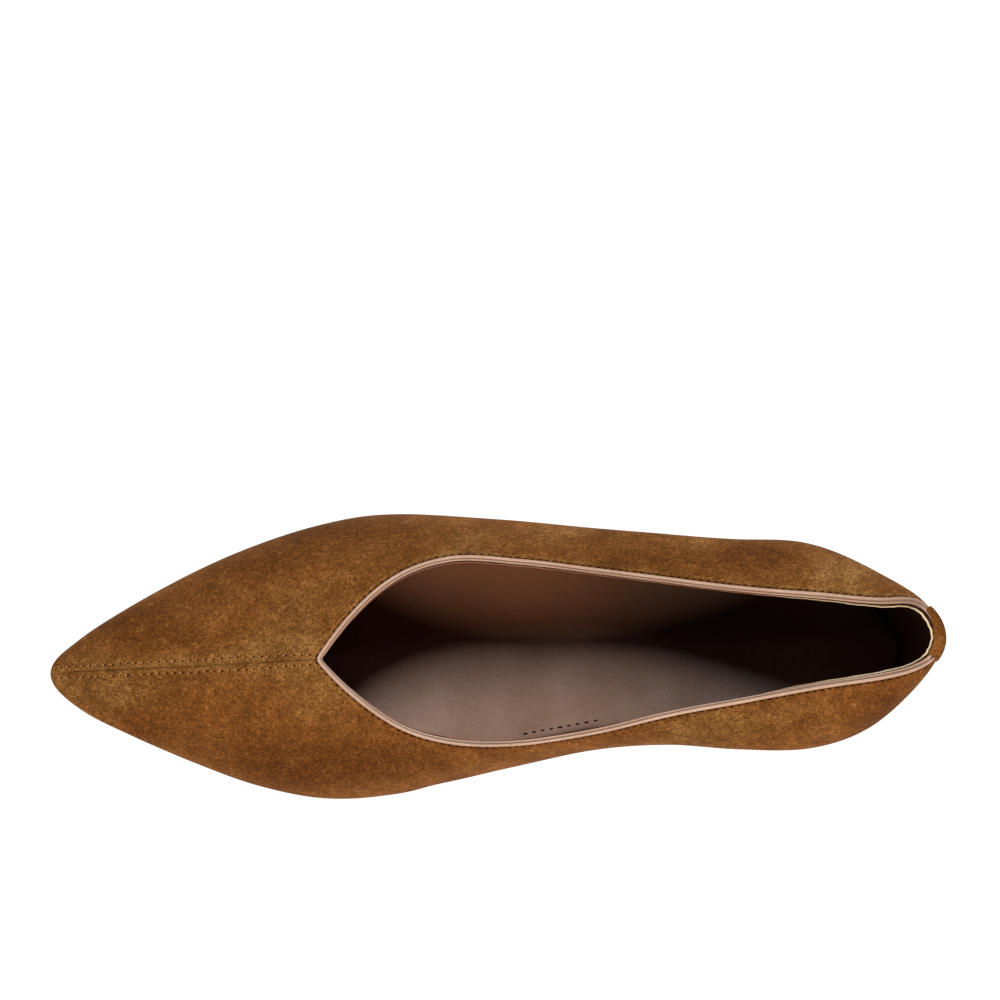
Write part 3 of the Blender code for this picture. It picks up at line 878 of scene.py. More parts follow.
@dataclass(frozen=True)
class SmoothLeather:
    """Full-grain leather with a pigmented finish: a soft gloss over a fine pebbled grain."""

    name: str
    colour: str
    darker: str
    edge: str | None = None  # colour where the mark called edge is 1
    takes_painted_shade: bool = False  # whether the mark called painted_heel_shade darkens it with painted shade
    tone_mm: float = 14.0
    tone_detail: float = 4.0
    tone_places: tuple[float, float] = (0.32, 0.62)
    grain_mm: float = 0.7  # drawn coarser than the real grain, which is finer than a pixel
    grain_smoothness: float = 0.6
    grain_shade: tuple[float, float] = (-0.22, 1.08)  # how its pebbles and creases are shaded
    grain_depth_mm: float = 0.08
    grain_strength: float = 0.5
    roughness: float = 0.48
    roughness_range: float = 0.16
    coat: float = 0.0
    coat_roughness: float = 0.3

    def material(self) -> bpy.types.Material:
        """Builds the material.

        Returns:
            The material.
        """
        made, tree, shader = new_material(self.name)
        place = add_node(tree, "ShaderNodeTexCoord").outputs["Object"]
        pattern = {"Vector": place, "Scale": per_metre(self.tone_mm), "Detail": self.tone_detail}
        tone = add_node(tree, NOISE, pattern)
        pattern = {"Vector": place, "Scale": per_metre(self.grain_mm)}
        pattern["Smoothness"] = self.grain_smoothness
        grain = add_node(tree, "ShaderNodeTexVoronoi", pattern, feature="SMOOTH_F1")
        ramp = add_node(tree, "ShaderNodeValToRGB", {"Fac": tone})
        set_ramp(ramp, self.tone_places, (self.darker, self.colour))
        colour = ramp.outputs["Color"]
        if self.edge:
            mark = add_node(tree, MARK, attribute_name="edge").outputs["Fac"]
            mixed = {"Factor": mark, 6: colour, 7: linear(self.edge)}
            colour = add_node(tree, "ShaderNodeMix", mixed, data_type="RGBA").outputs[2]
        low, high = self.grain_shade
        shade = add_node(tree, MATH, {0: grain, 1: low, 2: high}, operation="MULTIPLY_ADD")
        # Painted shade where the mark called painted_heel_shade is set
        if self.takes_painted_shade:
            mark = add_node(tree, MARK, attribute_name="painted_heel_shade").outputs["Fac"]
            kept = add_node(tree, MATH, {0: 1.0, 1: mark}, operation="SUBTRACT")
            shade = add_node(tree, MATH, {0: shade, 1: kept}, operation="MULTIPLY")
        coloured = add_node(tree, VECTOR_MATH, {0: colour, "Scale": shade}, operation="SCALE")
        swing = {0: tone, 1: self.roughness_range, 2: self.roughness - self.roughness_range / 2.0}
        gloss = add_node(tree, MATH, swing, operation="MULTIPLY_ADD")
        depth = {"Strength": self.grain_strength, "Distance": self.grain_depth_mm * MM}
        bump = add_node(tree, "ShaderNodeBump", {"Height": grain, **depth}, invert=True)
        feed(shader, {"Base Color": coloured, "Roughness": gloss, "Normal": bump})
        feed(shader, {"Coat Weight": self.coat, "Coat Roughness": self.coat_roughness})
        return made


@dataclass(frozen=True)
class Speckled:
    """One colour, broken by fine specks."""

    name: str
    colour: str
    speck_mm: float
    detail: float
    shade: tuple[float, float]  # how the specks scale the colour
    roughness: float
    specular: float = 0.5
    depth_mm: float = 0.0
    strength: float = 0.4

    def material(self) -> bpy.types.Material:
        """Builds the material.

        Returns:
            The material.
        """
        made, tree, shader = new_material(self.name)
        place = add_node(tree, "ShaderNodeTexCoord").outputs["Object"]
        pattern = {"Vector": place, "Scale": per_metre(self.speck_mm), "Detail": self.detail}
        speck = add_node(tree, NOISE, pattern)
        swing, least = self.shade
        shade = add_node(tree, MATH, {0: speck, 1: swing, 2: least}, operation="MULTIPLY_ADD")
        scaled = {0: linear(self.colour)[:3], "Scale": shade}
        feed(shader, {"Base Color": add_node(tree, VECTOR_MATH, scaled, operation="SCALE")})
        feed(shader, {"Roughness": self.roughness, "Specular IOR Level": self.specular})
        if self.depth_mm:
            depth = {"Strength": self.strength, "Distance": self.depth_mm * MM}
            feed(shader, {"Normal": add_node(tree, "ShaderNodeBump", {"Height": speck, **depth})})
        return made


@dataclass(frozen=True)
class Thread(Speckled):
    """Twisted polyester sewing thread: a fine broken twist with a faint silky gloss."""

    speck_mm: float = 0.25
    detail: float = 1.0
    shade: tuple[float, float] = (0.7, 0.65)
    roughness: float = 0.55
    specular: float = 0.05


@dataclass(frozen=True)
class Rubber(Speckled):
    """Moulded polyurethane of a heel tip: dense, dark and dull, with a fine moulded grit."""

    name: str = "moulded polyurethane with a fine grit"
    colour: str = "2B211B"
    speck_mm: float = 0.35
    detail: float = 2.0
    shade: tuple[float, float] = (0.5, 0.75)
    roughness: float = 0.62
    depth_mm: float = 0.05


# Stitches


@dataclass
class StitchRows:
    """Rows of one shape that follow paths on a surface: threads, or dark dots of painted shade in the
    needle holes between them.
    """

    pitch: float
    shift: float  # how far along the path the shapes start, as a share of the pitch
    size: tuple[float, float, float]  # along the path, across it and up
    sink: float  # how far the middle of a shape lies under the surface
    slant: float = 0.0  # turn of each shape about the surface's normal, in degrees
    bead: tuple[int, int] = (8, 5)  # sides and rings of a shape
    seed: int = 7
    uneven: tuple[float, float] = (0.88, 1.1)  # least and largest size, as shares

    def tree(self) -> bpy.types.NodeTree:
        """Builds the node tree, with an input for each size.

        Returns:
            The tree.
        """
        tree = bpy.data.node_groups.new("stitch_rows", "GeometryNodeTree")
        kinds = {"Geometry": "Geometry", "Pitch": "Float", "Shift": "Float", "Sink": "Float"}
        kinds |= {"Slant": "Float", "Size": "Vector", "Seed": "Int", "Finish": "Material"}
        for name, kind in kinds.items():
            tree.interface.new_socket(name, in_out="INPUT", socket_type="NodeSocket" + kind)
        tree.interface.new_socket("Geometry", in_out="OUTPUT", socket_type="NodeSocketGeometry")
        given = add_node(tree, "NodeGroupInput").outputs
        path = add_node(tree, "GeometryNodeMeshToCurve", {"Mesh": given["Geometry"]})
        cut = {"Curve": path, "Length": given["Pitch"]}
        even = add_node(tree, "GeometryNodeResampleCurve", cut, mode="LENGTH")
        up = add_node(tree, "GeometryNodeInputNamedAttribute", data_type="FLOAT_VECTOR")
        feed(up, {"Name": "up"})
        ahead = add_node(tree, "GeometryNodeInputTangent")
        start = add_node(tree, VECTOR_MATH, {0: ahead, "Scale": given["Shift"]}, operation="SCALE")
        down = add_node(tree, VECTOR_MATH, {0: up, "Scale": given["Sink"]}, operation="SCALE")
        offset = add_node(tree, VECTOR_MATH, {0: start, 1: down}, operation="SUBTRACT")
        along = add_node(tree, ALIGN, {"Vector": ahead}, axis="X")
        upright = add_node(tree, ALIGN, {"Rotation": along, "Vector": up}, axis="Z", pivot_axis="X")
        angle = add_node(tree, "FunctionNodeAxisAngleToRotation", {"Angle": given["Slant"]})
        turned = add_node(tree, "FunctionNodeRotateRotation", rotation_space="LOCAL")
        feed(turned, {"Rotation": upright, "Rotate By": angle})
        ball = {"Segments": self.bead[0], "Rings": self.bead[1], "Radius": 0.5}
        bead = add_node(tree, "GeometryNodeMeshUVSphere", ball)
        shape = add_node(tree, "GeometryNodeTransform", {"Geometry": bead, "Scale": given["Size"]})
        share = add_node(tree, "FunctionNodeRandomValue", data_type="FLOAT")
        feed(share, {"Min": self.uneven[0], "Max": self.uneven[1], "Seed": given["Seed"]})
        moved = add_node(tree, "GeometryNodeSetPosition", {"Geometry": even, "Offset": offset})
        placed = add_node(tree, "GeometryNodeInstanceOnPoints", {"Points": moved, "Instance": shape})
        feed(placed, {"Rotation": turned, "Scale": share.outputs[1]})
        real = add_node(tree, "GeometryNodeRealizeInstances", {"Geometry": placed})
        dressed = add_node(tree, "GeometryNodeSetMaterial", {"Geometry": real})
        feed(dressed, {"Material": given["Finish"]})
        add_node(tree, "NodeGroupOutput", {"Geometry": dressed})
        return tree

    def build(
        self, name: str, paths: Sequence[tuple[Array, Array]], finish: bpy.types.Material, slot: Slot
    ) -> None:
        """Makes the rows as one piece.

        Args:
            name: name of the piece.
            paths: points of each path and the surface's normals there, in metres.
            finish: material of the shapes.
            slot: slot of the record; not used.
        """
        points = np.concatenate([path for path, _ in paths])
        ups = np.concatenate([up for _, up in paths])
        ends = {int(end) for end in np.cumsum([len(path) for path, _ in paths])}
        edges = [(i, i + 1) for i in range(len(points)) if i + 1 not in ends]
        mesh = bpy.data.meshes.new(name + "_path")
        mesh.from_pydata(points.tolist(), edges, [])
        layer = mesh.attributes.new("up", "FLOAT_VECTOR", "POINT")
        layer.data.foreach_set("vector", ups.reshape(-1).astype(np.float32))
        holder = bpy.data.objects.new(name + "_path", mesh)
        modifier = holder.modifiers.new("stitches", "NODES")
        modifier.node_group = self.tree()
        values = {
            "Pitch": self.pitch * MM,
            "Shift": self.shift * self.pitch * MM,
            "Sink": self.sink * MM,
            "Slant": math.radians(self.slant),
            "Size": tuple(length * MM for length in self.size),
            "Seed": self.seed,
            "Finish": finish,
        }
        for item in modifier.node_group.interface.items_tree:
            if item.in_out == "INPUT" and item.name in values:
                modifier[item.identifier] = values[item.name]
        present(name, evaluated(holder), None)


def laid_on(mesh: bpy.types.Mesh, points: Array, from_above: bool) -> tuple[Array, Array]:
    """Moves points onto a surface.

    Args:
        mesh: the surface, in metres.
        points: places near it, in metres.
        from_above: whether they drop straight down onto it, or go to the nearest place.

    Returns:
        The places on the surface and its normals there.
    """
    work = bmesh.new()
    work.from_mesh(mesh)
    tree = BVHTree.FromBMesh(work)
    work.free()
    found = []
    for point in points:
        spot = Vector(point)
        hit = tree.ray_cast(spot + ABOVE, DOWN) if from_above else tree.find_nearest(spot)
        if hit[0] is not None:
            found.append((list(hit[0]), list(hit[1])))
    places, normals = zip(*found)
    return np.array(places), np.array(normals)


# Pieces of the shoe


class Spot(NamedTuple):
    """Soft oval spot on the suede, in plan, in millimetres.

    turn is the direction of its length from the toe towards the outer side, in degrees. amount is
    the depth of a wave, or the strength of a brush stroke.
    """

    along: float
    aside: float
    length: float
    width: float
    amount: float
    turn: float = 0.0

    def at(self, points: Array) -> Array:
        """Reads the spot.

        Args:
            points: points of the wall.

        Returns:
            Its amount at each point, which fades from its middle.
        """
        c, s = math.cos(math.radians(self.turn)), math.sin(math.radians(self.turn))
        u, v = points[..., 0] - self.along, points[..., 1] - self.aside
        return self.amount * bell(u * c + v * s, self.length) * bell(v * c - u * s, self.width)


# Troughs, and ridges where the amount is negative
WAVES = (
    Spot(158.0, -24.0, 16.0, 5.0, 0.28, 58.0),
    Spot(150.0, -27.0, 14.0, 5.0, -0.22, 52.0),
    Spot(142.0, -30.0, 14.0, 4.5, 0.20, 46.0),
    Spot(158.0, 27.0, 16.0, 5.0, 0.26, -58.0),
    Spot(149.0, 31.0, 14.0, 5.0, -0.22, -50.0),
    Spot(182.0, 16.0, 15.0, 7.0, 0.18, -70.0),
    Spot(186.0, -15.0, 15.0, 7.0, 0.18, 72.0),
    Spot(70.0, 30.0, 24.0, 6.0, 0.30, 10.0),
    Spot(40.0, 28.0, 20.0, 6.0, -0.26, -8.0),
    Spot(60.0, -22.0, 22.0, 6.0, 0.24, -6.0),
)
# Places where the nap was brushed up and looks lighter, or stroked down where the amount is negative,
# with painted shade in the darker spots along the outline
NAP_AND_PAINTED_SHADE_SPOTS = (
    Spot(239.0, -2.0, 14.0, 8.0, 1.3),
    Spot(226.0, -7.0, 12.0, 5.0, 0.5),
    Spot(223.0, 13.0, 10.0, 7.0, -1.5),
    Spot(222.0, -19.0, 6.0, 4.0, -1.0),
    Spot(210.0, 8.0, 6.0, 4.0, -0.7),
    Spot(205.0, 2.0, 18.0, 4.0, 0.8),
    Spot(192.0, -21.0, 7.0, 6.0, -0.6),
    Spot(190.0, 31.0, 15.0, 5.0, -1.0),
    Spot(180.0, 3.0, 12.0, 6.0, 1.4),
    Spot(179.0, -29.0, 13.0, 7.0, -1.1),
    Spot(175.0, 15.0, 9.0, 8.0, 0.6),
    Spot(170.0, -8.0, 9.0, 8.0, 0.8),
    Spot(161.0, -32.0, 15.0, 5.0, -1.0),
    Spot(160.0, 40.0, 24.0, 5.0, -1.0),
    Spot(147.0, -27.0, 18.0, 5.0, -0.5),
    Spot(125.0, 32.0, 6.0, 8.0, 0.8),
    Spot(99.0, 36.0, 13.0, 3.0, 0.5),
    Spot(73.0, 27.0, 13.0, 3.0, -0.6),
    Spot(61.0, -24.0, 9.0, 5.0, 1.5),
    Spot(60.0, 31.0, 4.0, 3.0, 0.8),
    Spot(52.0, -20.0, 23.0, 6.0, 0.6),
    Spot(45.0, 26.0, 9.0, 4.0, -1.8),
    Spot(22.0, 19.0, 8.0, 5.0, 0.9),
    Spot(12.0, -19.0, 7.0, 6.0, -1.4),
)


@dataclass
class Upper:
    """Suede shell with its lining, the seam over the vamp and the rows of stitches."""

    last: Last
    thickness: float = 1.75
    suede_steps: tuple[int, int] = (15, 26)  # divisions of a section, and of one that turns
    suede_rows: tuple[int, int] = (9, 34)  # rows of points below and above the widest line
    edge_drops: tuple[tuple[float, float, int], ...] = ((3.6, 2.6, 4), (2.4, 0.0, 15))  # fine rows
    plain_drop: float = 7.2  # drop that stands for all rows farther down
    lining_depth: float = 1.85
    lining_thickness: float = 0.45
    lining_steps: tuple[int, int] = (9, 14)
    lining_rows: tuple[int, int] = (8, 14)
    lining_start: float = 0.1  # way of its lowest row
    lining_drops: tuple[float, float, int] = (8.0, 0.0, 7)
    row_places: tuple[float, float, float] = (171.0, 190.0, 240.0)
    seam_rows: tuple[float, float, float] = (1.4, 1.85, 1.6)  # from the seam to its stitches there
    seam_swell: float = 0.22
    swell_place: float = 0.55  # as a share of the way to the stitches
    swell_width: float = 0.8
    seam_groove: float = 0.30
    groove_width: float = 0.22
    stitch_groove: float = 0.14
    stitch_width: float = 0.4
    seam_end: float = 248.5  # the seam grows faint over the tip
    seam_fade: float = 6.0
    edge_roll: float = 0.3  # how far the suede is pulled down along its bound edge
    roll_width: float = 0.7
    seam_press_and_shade: float = 0.8  # how far the nap is flattened in the seam, with painted shade in its furrow
    seam_press_and_shade_width: float = 0.2
    edge_press_and_shade: float = 0.9  # the same beside the bound edge, where the darkening is painted shade
    edge_press_and_shade_width: float = 0.45
    seam_nap: float = 0.5  # how far the nap between the rows is rubbed up
    rim_nap: float = 0.8  # the same beside the binding on the outer side
    rim_drop: float = 1.3
    rim_width: float = 0.7
    nap_limit: float = 1.3
    seam_ends: tuple[float, float] = (0.988, 0.685)  # ends of its stitches, as shares of the length
    topline_drop: float = 0.5
    path_points: tuple[int, int] = (400, 500)  # of the seam's rows and the topline's
    topline_ends: tuple[float, float] = (0.02, 0.52)  # gaps in its stitches at the throat and the tab

    def seam_aside(self, along: Array) -> Array:
        """Places across the shoe of the seam over the vamp."""
        crown = [self.last.columns[name][0][self.last.tip :] for name in ("crown_along", "crown_aside")]
        return np.interp(along, *crown)

    def row_distance(self, along: Array) -> Array:
        """Distance from the seam to its rows of stitches."""
        return np.interp(along, self.row_places, self.seam_rows)

    def marks(self, station: Array, drops: Array, points: Array) -> dict[str, Array]:
        """Finds how the suede departs from the smooth wall.

        Args:
            station: places round the shoe.
            drops: how far each row of points lies down from the upper edge.
            points: points of the smooth wall.

        Returns:
            relief, how far it stands out. nap, how far it is brushed up, or down where that is
            negative, with painted shade along the outline in it. pressed_and_shaded, how far a seam or
            the bound edge presses it flat, with painted shade in the seam's furrow and beside the bound
            edge.
        """
        inner, outer = self.last.throats
        closed = ((station <= inner) | (station >= outer))[:, None]
        far = (station > self.last.tip)[:, None]
        along = points[..., 0]
        away = np.abs(points[..., 1] - self.seam_aside(along))
        rows = self.row_distance(along)
        seam = self.seam_swell * bell(away - self.swell_place * rows, self.swell_width)
        seam = seam - self.seam_groove * bell(away, self.groove_width)
        seam = seam - self.stitch_groove * bell(away - rows, self.stitch_width)
        seam = seam * np.clip((self.seam_end - along) / self.seam_fade, 0.0, 1.0)
        relief = np.where(closed, seam, -self.edge_roll * bell(drops, self.roll_width))
        rubbed = self.seam_nap * np.exp(-((away / rows) ** 4))
        rim = self.rim_nap * bell(drops - self.rim_drop, self.rim_width) * far
        # The spots also lay painted shade along the outline
        nap = np.where(closed, rubbed, rim) + sum(spot.at(points) for spot in NAP_AND_PAINTED_SHADE_SPOTS)
        # Flattened nap, with painted shade in the seam's furrow and beside the bound edge
        seam_press_and_shade = self.seam_press_and_shade * bell(away, self.seam_press_and_shade_width)
        edge_press_and_shade = self.edge_press_and_shade * bell(drops, self.edge_press_and_shade_width)
        return {
            "relief": relief - sum(spot.at(points) for spot in WAVES),
            "nap": np.clip(nap, -self.nap_limit, self.nap_limit),
            "pressed_and_shaded": np.where(closed, seam_press_and_shade, edge_press_and_shade),
        }

    def build_suede(self) -> None:
        """Builds the shell: the wall with its relief, thickened inwards."""
        last = self.last
        station = last.stations(0, last.round, *self.suede_steps)
        drops = np.concatenate([np.linspace(*ends) for ends in self.edge_drops])
        below, above = self.suede_rows
        low = np.linspace(0.0, 1.0, below, endpoint=False)
        ways = last.wall_ways(station, low, above, drops)
        drops = np.concatenate([np.full(below + above, self.plain_drop), drops])
        points = last.surface(station[:, None], ways)
        marks = self.marks(station, drops, points)
        quads = grid_quads(*ways.shape, True, False)
        mesh = solid_mesh("upper_suede", last.world(points), quads, marks=marks)
        relief = mesh.attributes["relief"]
        heights = np.empty(len(mesh.vertices), np.float32)
        relief.data.foreach_get("value", heights)
        mesh.attributes.remove(relief)
        push_out(mesh, heights)
        self.outside = mesh.copy()
        shell = applied(mesh, "SOLIDIFY", thickness=self.thickness * MM, offset=-1.0)
        self.finish = Suede().material()
        present("upper_suede", shell, self.finish, "upper")

    def build_lining(self) -> None:
        """Builds the leather lining on the inner face of the shell."""
        last = self.last
        station = last.stations(0, last.round, *self.lining_steps)
        below, above = self.lining_rows
        low = np.linspace(self.lining_start, 1.0, below, endpoint=False)
        ways = last.wall_ways(station, low, above, np.linspace(*self.lining_drops))
        points = last.surface(station[:, None], ways)
        mesh = solid_mesh("lining", last.world(points), grid_quads(*ways.shape, True, False))
        push_out(mesh, np.full(len(mesh.vertices), -self.lining_depth, np.float32))
        shell = applied(mesh, "SOLIDIFY", thickness=self.lining_thickness * MM, offset=-1.0)
        name = "pig lining leather with a pigmented finish"
        leather = SmoothLeather(name, "5A3626", "4C2C1E", roughness=0.55)
        present("lining", shell, leather.material())

    def build_stitches(self) -> None:
        """Builds the rows on both sides of the vamp seam and the row along the topline."""
        last = self.last
        along = np.linspace(*(last.length * end for end in self.seam_ends), self.path_points[0])
        paths = []
        for side in (-1.0, 1.0):
            aside = self.seam_aside(along) + side * self.row_distance(along)
            plan = np.stack([along, aside, np.zeros_like(along)], -1)
            paths.append(laid_on(self.outside, last.world(plan), True))
        thread = Thread("tan polyester thread, twisted", "B98450").material()
        # Painted shade in the needle holes, drawn as dark dots between the threads
        hole = Thread("painted shade in the needle holes", "2A1307").material()
        seam = StitchRows(pitch=2.4, shift=0.18, size=(0.75, 0.5, 0.3), sink=0.05, slant=6.0)
        seam.build("vamp_seam_threads", paths, thread, Slot.SUEDE)
        gaps = StitchRows(pitch=2.4, shift=0.5, size=(0.85, 0.6, 0.24), sink=0.02)
        gaps.build("vamp_seam_hole_shade", paths, hole, Slot.SUEDE)
        inner, outer = last.throats
        front, back = self.topline_ends
        paths = []
        for ends in ((inner + front, last.tip - back), (last.tip + back, outer - front)):
            station = np.linspace(*ends, self.path_points[1])
            way = last.ways_below(station, np.array([self.topline_drop]))[:, 0]
            paths.append(laid_on(self.outside, last.world(last.surface(station, way)), False))
        dark = Thread("dark brown polyester thread, twisted", "3A1D0B").material()
        row = StitchRows(pitch=2.2, shift=0.0, size=(1.3, 0.5, 0.28), sink=0.04, slant=6.0)
        row.build("topline_stitches", paths, dark, Slot.SUEDE)


class EdgeRow(NamedTuple):
    """Point of a strip's outline: how far past the collar edge, and how far out of the wall.

    mark is 1 where the strip takes its second colour.
    """

    rise: float
    depth: float
    mark: float = 0.0


# The marked points of the binding lie in the crease between its two beads, where its second colour is
# painted shade
BINDING_OUTLINE = (
    EdgeRow(-0.10, -0.10),
    EdgeRow(0.20, 0.16),
    EdgeRow(0.55, 0.24),
    EdgeRow(0.88, 0.12),
    EdgeRow(1.00, -0.06),
    EdgeRow(0.94, -0.26, 0.8),
    EdgeRow(0.88, -0.42, 1.0),
    EdgeRow(0.98, -0.56, 0.8),
    EdgeRow(1.22, -0.70),
    EdgeRow(1.32, -0.92),
    EdgeRow(1.20, -1.14),
    EdgeRow(0.85, -1.22),
    EdgeRow(0.35, -1.20),
    EdgeRow(-0.10, -1.15),
    EdgeRow(-0.10, -0.55),
)
LINING_EDGE_OUTLINE = (
    EdgeRow(0.86, -1.84, 1.0),
    EdgeRow(1.04, -1.94, 1.0),
    EdgeRow(1.04, -2.18, 1.0),
    EdgeRow(0.84, -2.32, 1.0),
    EdgeRow(0.20, -2.38, 1.0),
    EdgeRow(-0.80, -2.42),
    EdgeRow(-3.00, -2.42),
    EdgeRow(-3.00, -2.30),
    EdgeRow(-0.80, -2.10),
    EdgeRow(0.10, -2.00),
)


@dataclass
class Topline:
    """Leather binding round the collar, with the edge of the lining beside it."""

    last: Last
    steps: int = 15
    turn_steps: int = 30
    ripple: float = 0.10  # how far the cut edge of the lining wanders
    ripple_lengths: tuple[float, float] = (9.0, 3.3)
    ripple_from: float = 0.5  # rise over which an outline's points wander
    thick_places: tuple[float, float] = (10.0, 45.0)  # where the strips get thinner, from the back
    thick_shares: tuple[float, float] = (1.3, 1.0)
    thick_from: float = -0.5  # rise over which an outline's points follow that
    raw_places: tuple[float, float] = (20.0, 48.0)  # where the lining stops showing its raw edge
    painted_shade_places: tuple[float, float] = (3.0, 24.0)  # where the painted shade on the outer side of the binding fades out, from the back
    shaded: float = 0.55
    tuck: float = 1.4  # how much lower the lining was trimmed along the inner side
    tuck_places: tuple[float, float, float, float] = (40.0, 60.0, 118.0, 135.0)
    tuck_from: float = -1.0  # rise over which an outline's points follow that

    def strip(
        self,
        name: str,
        outline: Sequence[EdgeRow],
        marked: tuple[float, float],
        wander: float = 0.0,
        sunk: float = 0.0,
        shaded: float = 0.0,
    ) -> bpy.types.Mesh:
        """Makes a strip with one outline all round the collar.

        Args:
            name: name of the mesh.
            outline: the outline, once round.
            marked: how strong the outline's mark is behind and ahead of where the raw edge stops.
            wander: how far its upper points move in and out on the way.
            sunk: how much lower they lie along the inner side.
            shaded: least strength of the mark at the back of the outer side, where it is painted shade.

        Returns:
            The mesh, with a mark called edge.
        """
        last = self.last
        station = last.stations(*last.throats, self.steps, self.turn_steps)
        points, outs, past = last.collar_frames(station)
        along = points[:, 0]
        run = np.cumsum(np.linalg.norm(np.diff(points, axis=0, prepend=points[:1]), axis=-1))
        wave = sum(np.sin(run * 2.0 * math.pi / length) for length in self.ripple_lengths)
        rise, depth, mark = np.array(outline).T
        thick = np.interp(along, self.thick_places, self.thick_shares)[:, None]
        depths = np.where((depth < 0.0) & (rise > self.thick_from), depth * thick, depth)
        depths = depths + wander * wave[:, None] * (rise > self.ripple_from)
        tucked = np.interp(along, self.tuck_places, (0.0, 1.0, 1.0, 0.0)) * (station < last.tip)
        rises = rise - sunk * tucked[:, None] * (rise > self.tuck_from)
        places = points[:, None] + past[:, None] * rises[..., None] + outs[:, None] * depths[..., None]
        # Painted shade on the binding towards the back of the outer side
        brown = np.interp(along, self.painted_shade_places, (shaded, 0.0)) * (station > last.tip)
        edge = np.interp(along, self.raw_places, marked)[:, None] * mark
        marks = {"edge": np.maximum(edge, brown[:, None])}
        quads = grid_quads(len(station), len(outline), True, True)
        mesh = solid_mesh(name, last.world(places), quads, marks=marks)
        return applied(mesh, "SUBSURF", levels=1, render_levels=1)

    def build(self) -> None:
        """Builds both strips."""
        name = "calf binding leather with a pigmented finish"
        # The binding's second colour is painted shade, in the crease between its beads and towards the
        # back of its outer side
        leather = SmoothLeather(name, "C8A791", "BC9983", edge="806252", roughness=0.42)
        mesh = self.strip("binding_strip", BINDING_OUTLINE, (1.0, 1.0), shaded=self.shaded)
        present("binding_strip", mesh, leather.material(), "topline_binding")
        name = "cut edge of the lining leather"
        lining = SmoothLeather(name, "A87560", "96644F", edge="E8D3AC", roughness=0.6)
        mesh = self.strip("lining_edge", LINING_EDGE_OUTLINE, (1.0, 0.0), self.ripple, self.tuck)
        present("lining_edge", mesh, lining.material())


@dataclass
class BackTab:
    """Suede strip over the back seam that folds over the binding."""

    last: Last
    reach: tuple[float, float] = (5.8, 8.4)  # from the back seam to the tab's inner and outer side
    drop: float = 26.0
    rounding: float = 5.0
    thickness: float = 0.85
    side_share: float = 0.35  # thickness at the sides, as a share of that in the middle
    fit: float = 0.35
    top: float = 1.5
    inside: float = -2.1
    inside_loss: float = 0.7  # share of that which the fold loses towards the outer side
    edge_rounding: tuple[float, int] = (0.25, 2)  # how far it reaches, and its faces
    across: int = 24
    down: int = 22
    wall_points: tuple[int, int] = (121, 60)  # where the wall is read round the back, and down

    def hook(self, thick: float, inside: float) -> Array:
        """Outline of the part that folds over the binding.

        Args:
            thick: thickness of the tab.
            inside: where the fold ends within the shoe.

        Returns:
            Rises past the collar edge and depths out of the wall.
        """
        top, fit = self.top, self.fit
        outer = ((top * 0.5, fit + thick + 0.05), (top, fit + 0.85 * thick))
        bend = ((top + 0.75 * thick, 0.3 * thick), (top + thick, 0.3 * inside))
        end = ((top + 0.95 * thick, 0.7 * inside), (top + 0.6 * thick, inside), (top, inside))
        inner = ((top, 0.45 * inside), (top - 0.2, fit), (top * 0.5, fit))
        return np.array(outer + bend + end + inner)

    def column(self, share: float, depths: Array, near: Array, sides: Array) -> Array:
        """Points of the tab once round its outline, at one place across it.

        Args:
            share: place across the tab, from -1 at the inner side to 1 at the outer.
            depths: distances down from the collar.
            near: stations round the back of the shoe.
            sides: how far aside the wall lies at those stations and distances.

        Returns:
            The points, down the outer face last.
        """
        last = self.last
        drops = np.linspace(0.0, 1.0, self.down) * (self.drop - self.rounding * share * share)
        thick = self.thickness * (1.0 - (1.0 - self.side_share) * share * share)
        aside = np.interp(share, (-1.0, 0.0, 1.0), (-self.reach[0], 0.0, self.reach[1]))
        inside = self.inside * (1.0 - self.inside_loss * max(share, 0.0) ** 2)
        levels = [[np.interp(drop, depths, side) for side in sides] for drop in drops]
        spots = np.array([np.interp(aside, level, near) for level in levels])
        pairs = zip(spots, drops)
        ways = np.array([last.ways_below(np.array([s]), np.array([d]))[0, 0] for s, d in pairs])
        wall, out = last.surface(spots, ways), last.outward(spots, ways)
        step = spots[0] + np.array([-last.nearby, 0.0, last.nearby])
        edges = last.surface(step, last.collar(step))
        past = unit(np.cross(unit(edges[2] - edges[0]), out[0]))
        fold = [edges[1] + past * rise + out[0] * depth for rise, depth in self.hook(thick, inside)]
        outer = wall + out * (self.fit + thick)
        return np.concatenate([outer[::-1], np.array(fold), wall + out * self.fit])

    def build(self, finish: bpy.types.Material) -> None:
        """Builds the tab.

        Args:
            finish: suede of the upper.
        """
        last = self.last
        around, down = self.wall_points
        near = np.linspace(last.tip - 1.0, last.tip + 1.0, around)
        depths = np.linspace(0.0, self.drop, down)
        sides = last.surface(near[:, None], last.ways_below(near, depths))[..., 1]
        shares = np.linspace(-1.0, 1.0, self.across + 1)
        points = np.array([self.column(share, depths, near, sides) for share in shares])
        rows, count = points.shape[:2]
        caps = []
        for start in (0, (rows - 1) * count):
            for j in range(count // 2 - 1):
                caps.append([start + k for k in (j, j + 1, count - 2 - j, count - 1 - j)])
        mesh = solid_mesh("back_tab", last.world(points), grid_quads(rows, count, False, True), caps)
        mesh = rounded(mesh, *self.edge_rounding)
        present("tab_suede", mesh, finish, "back_tab")


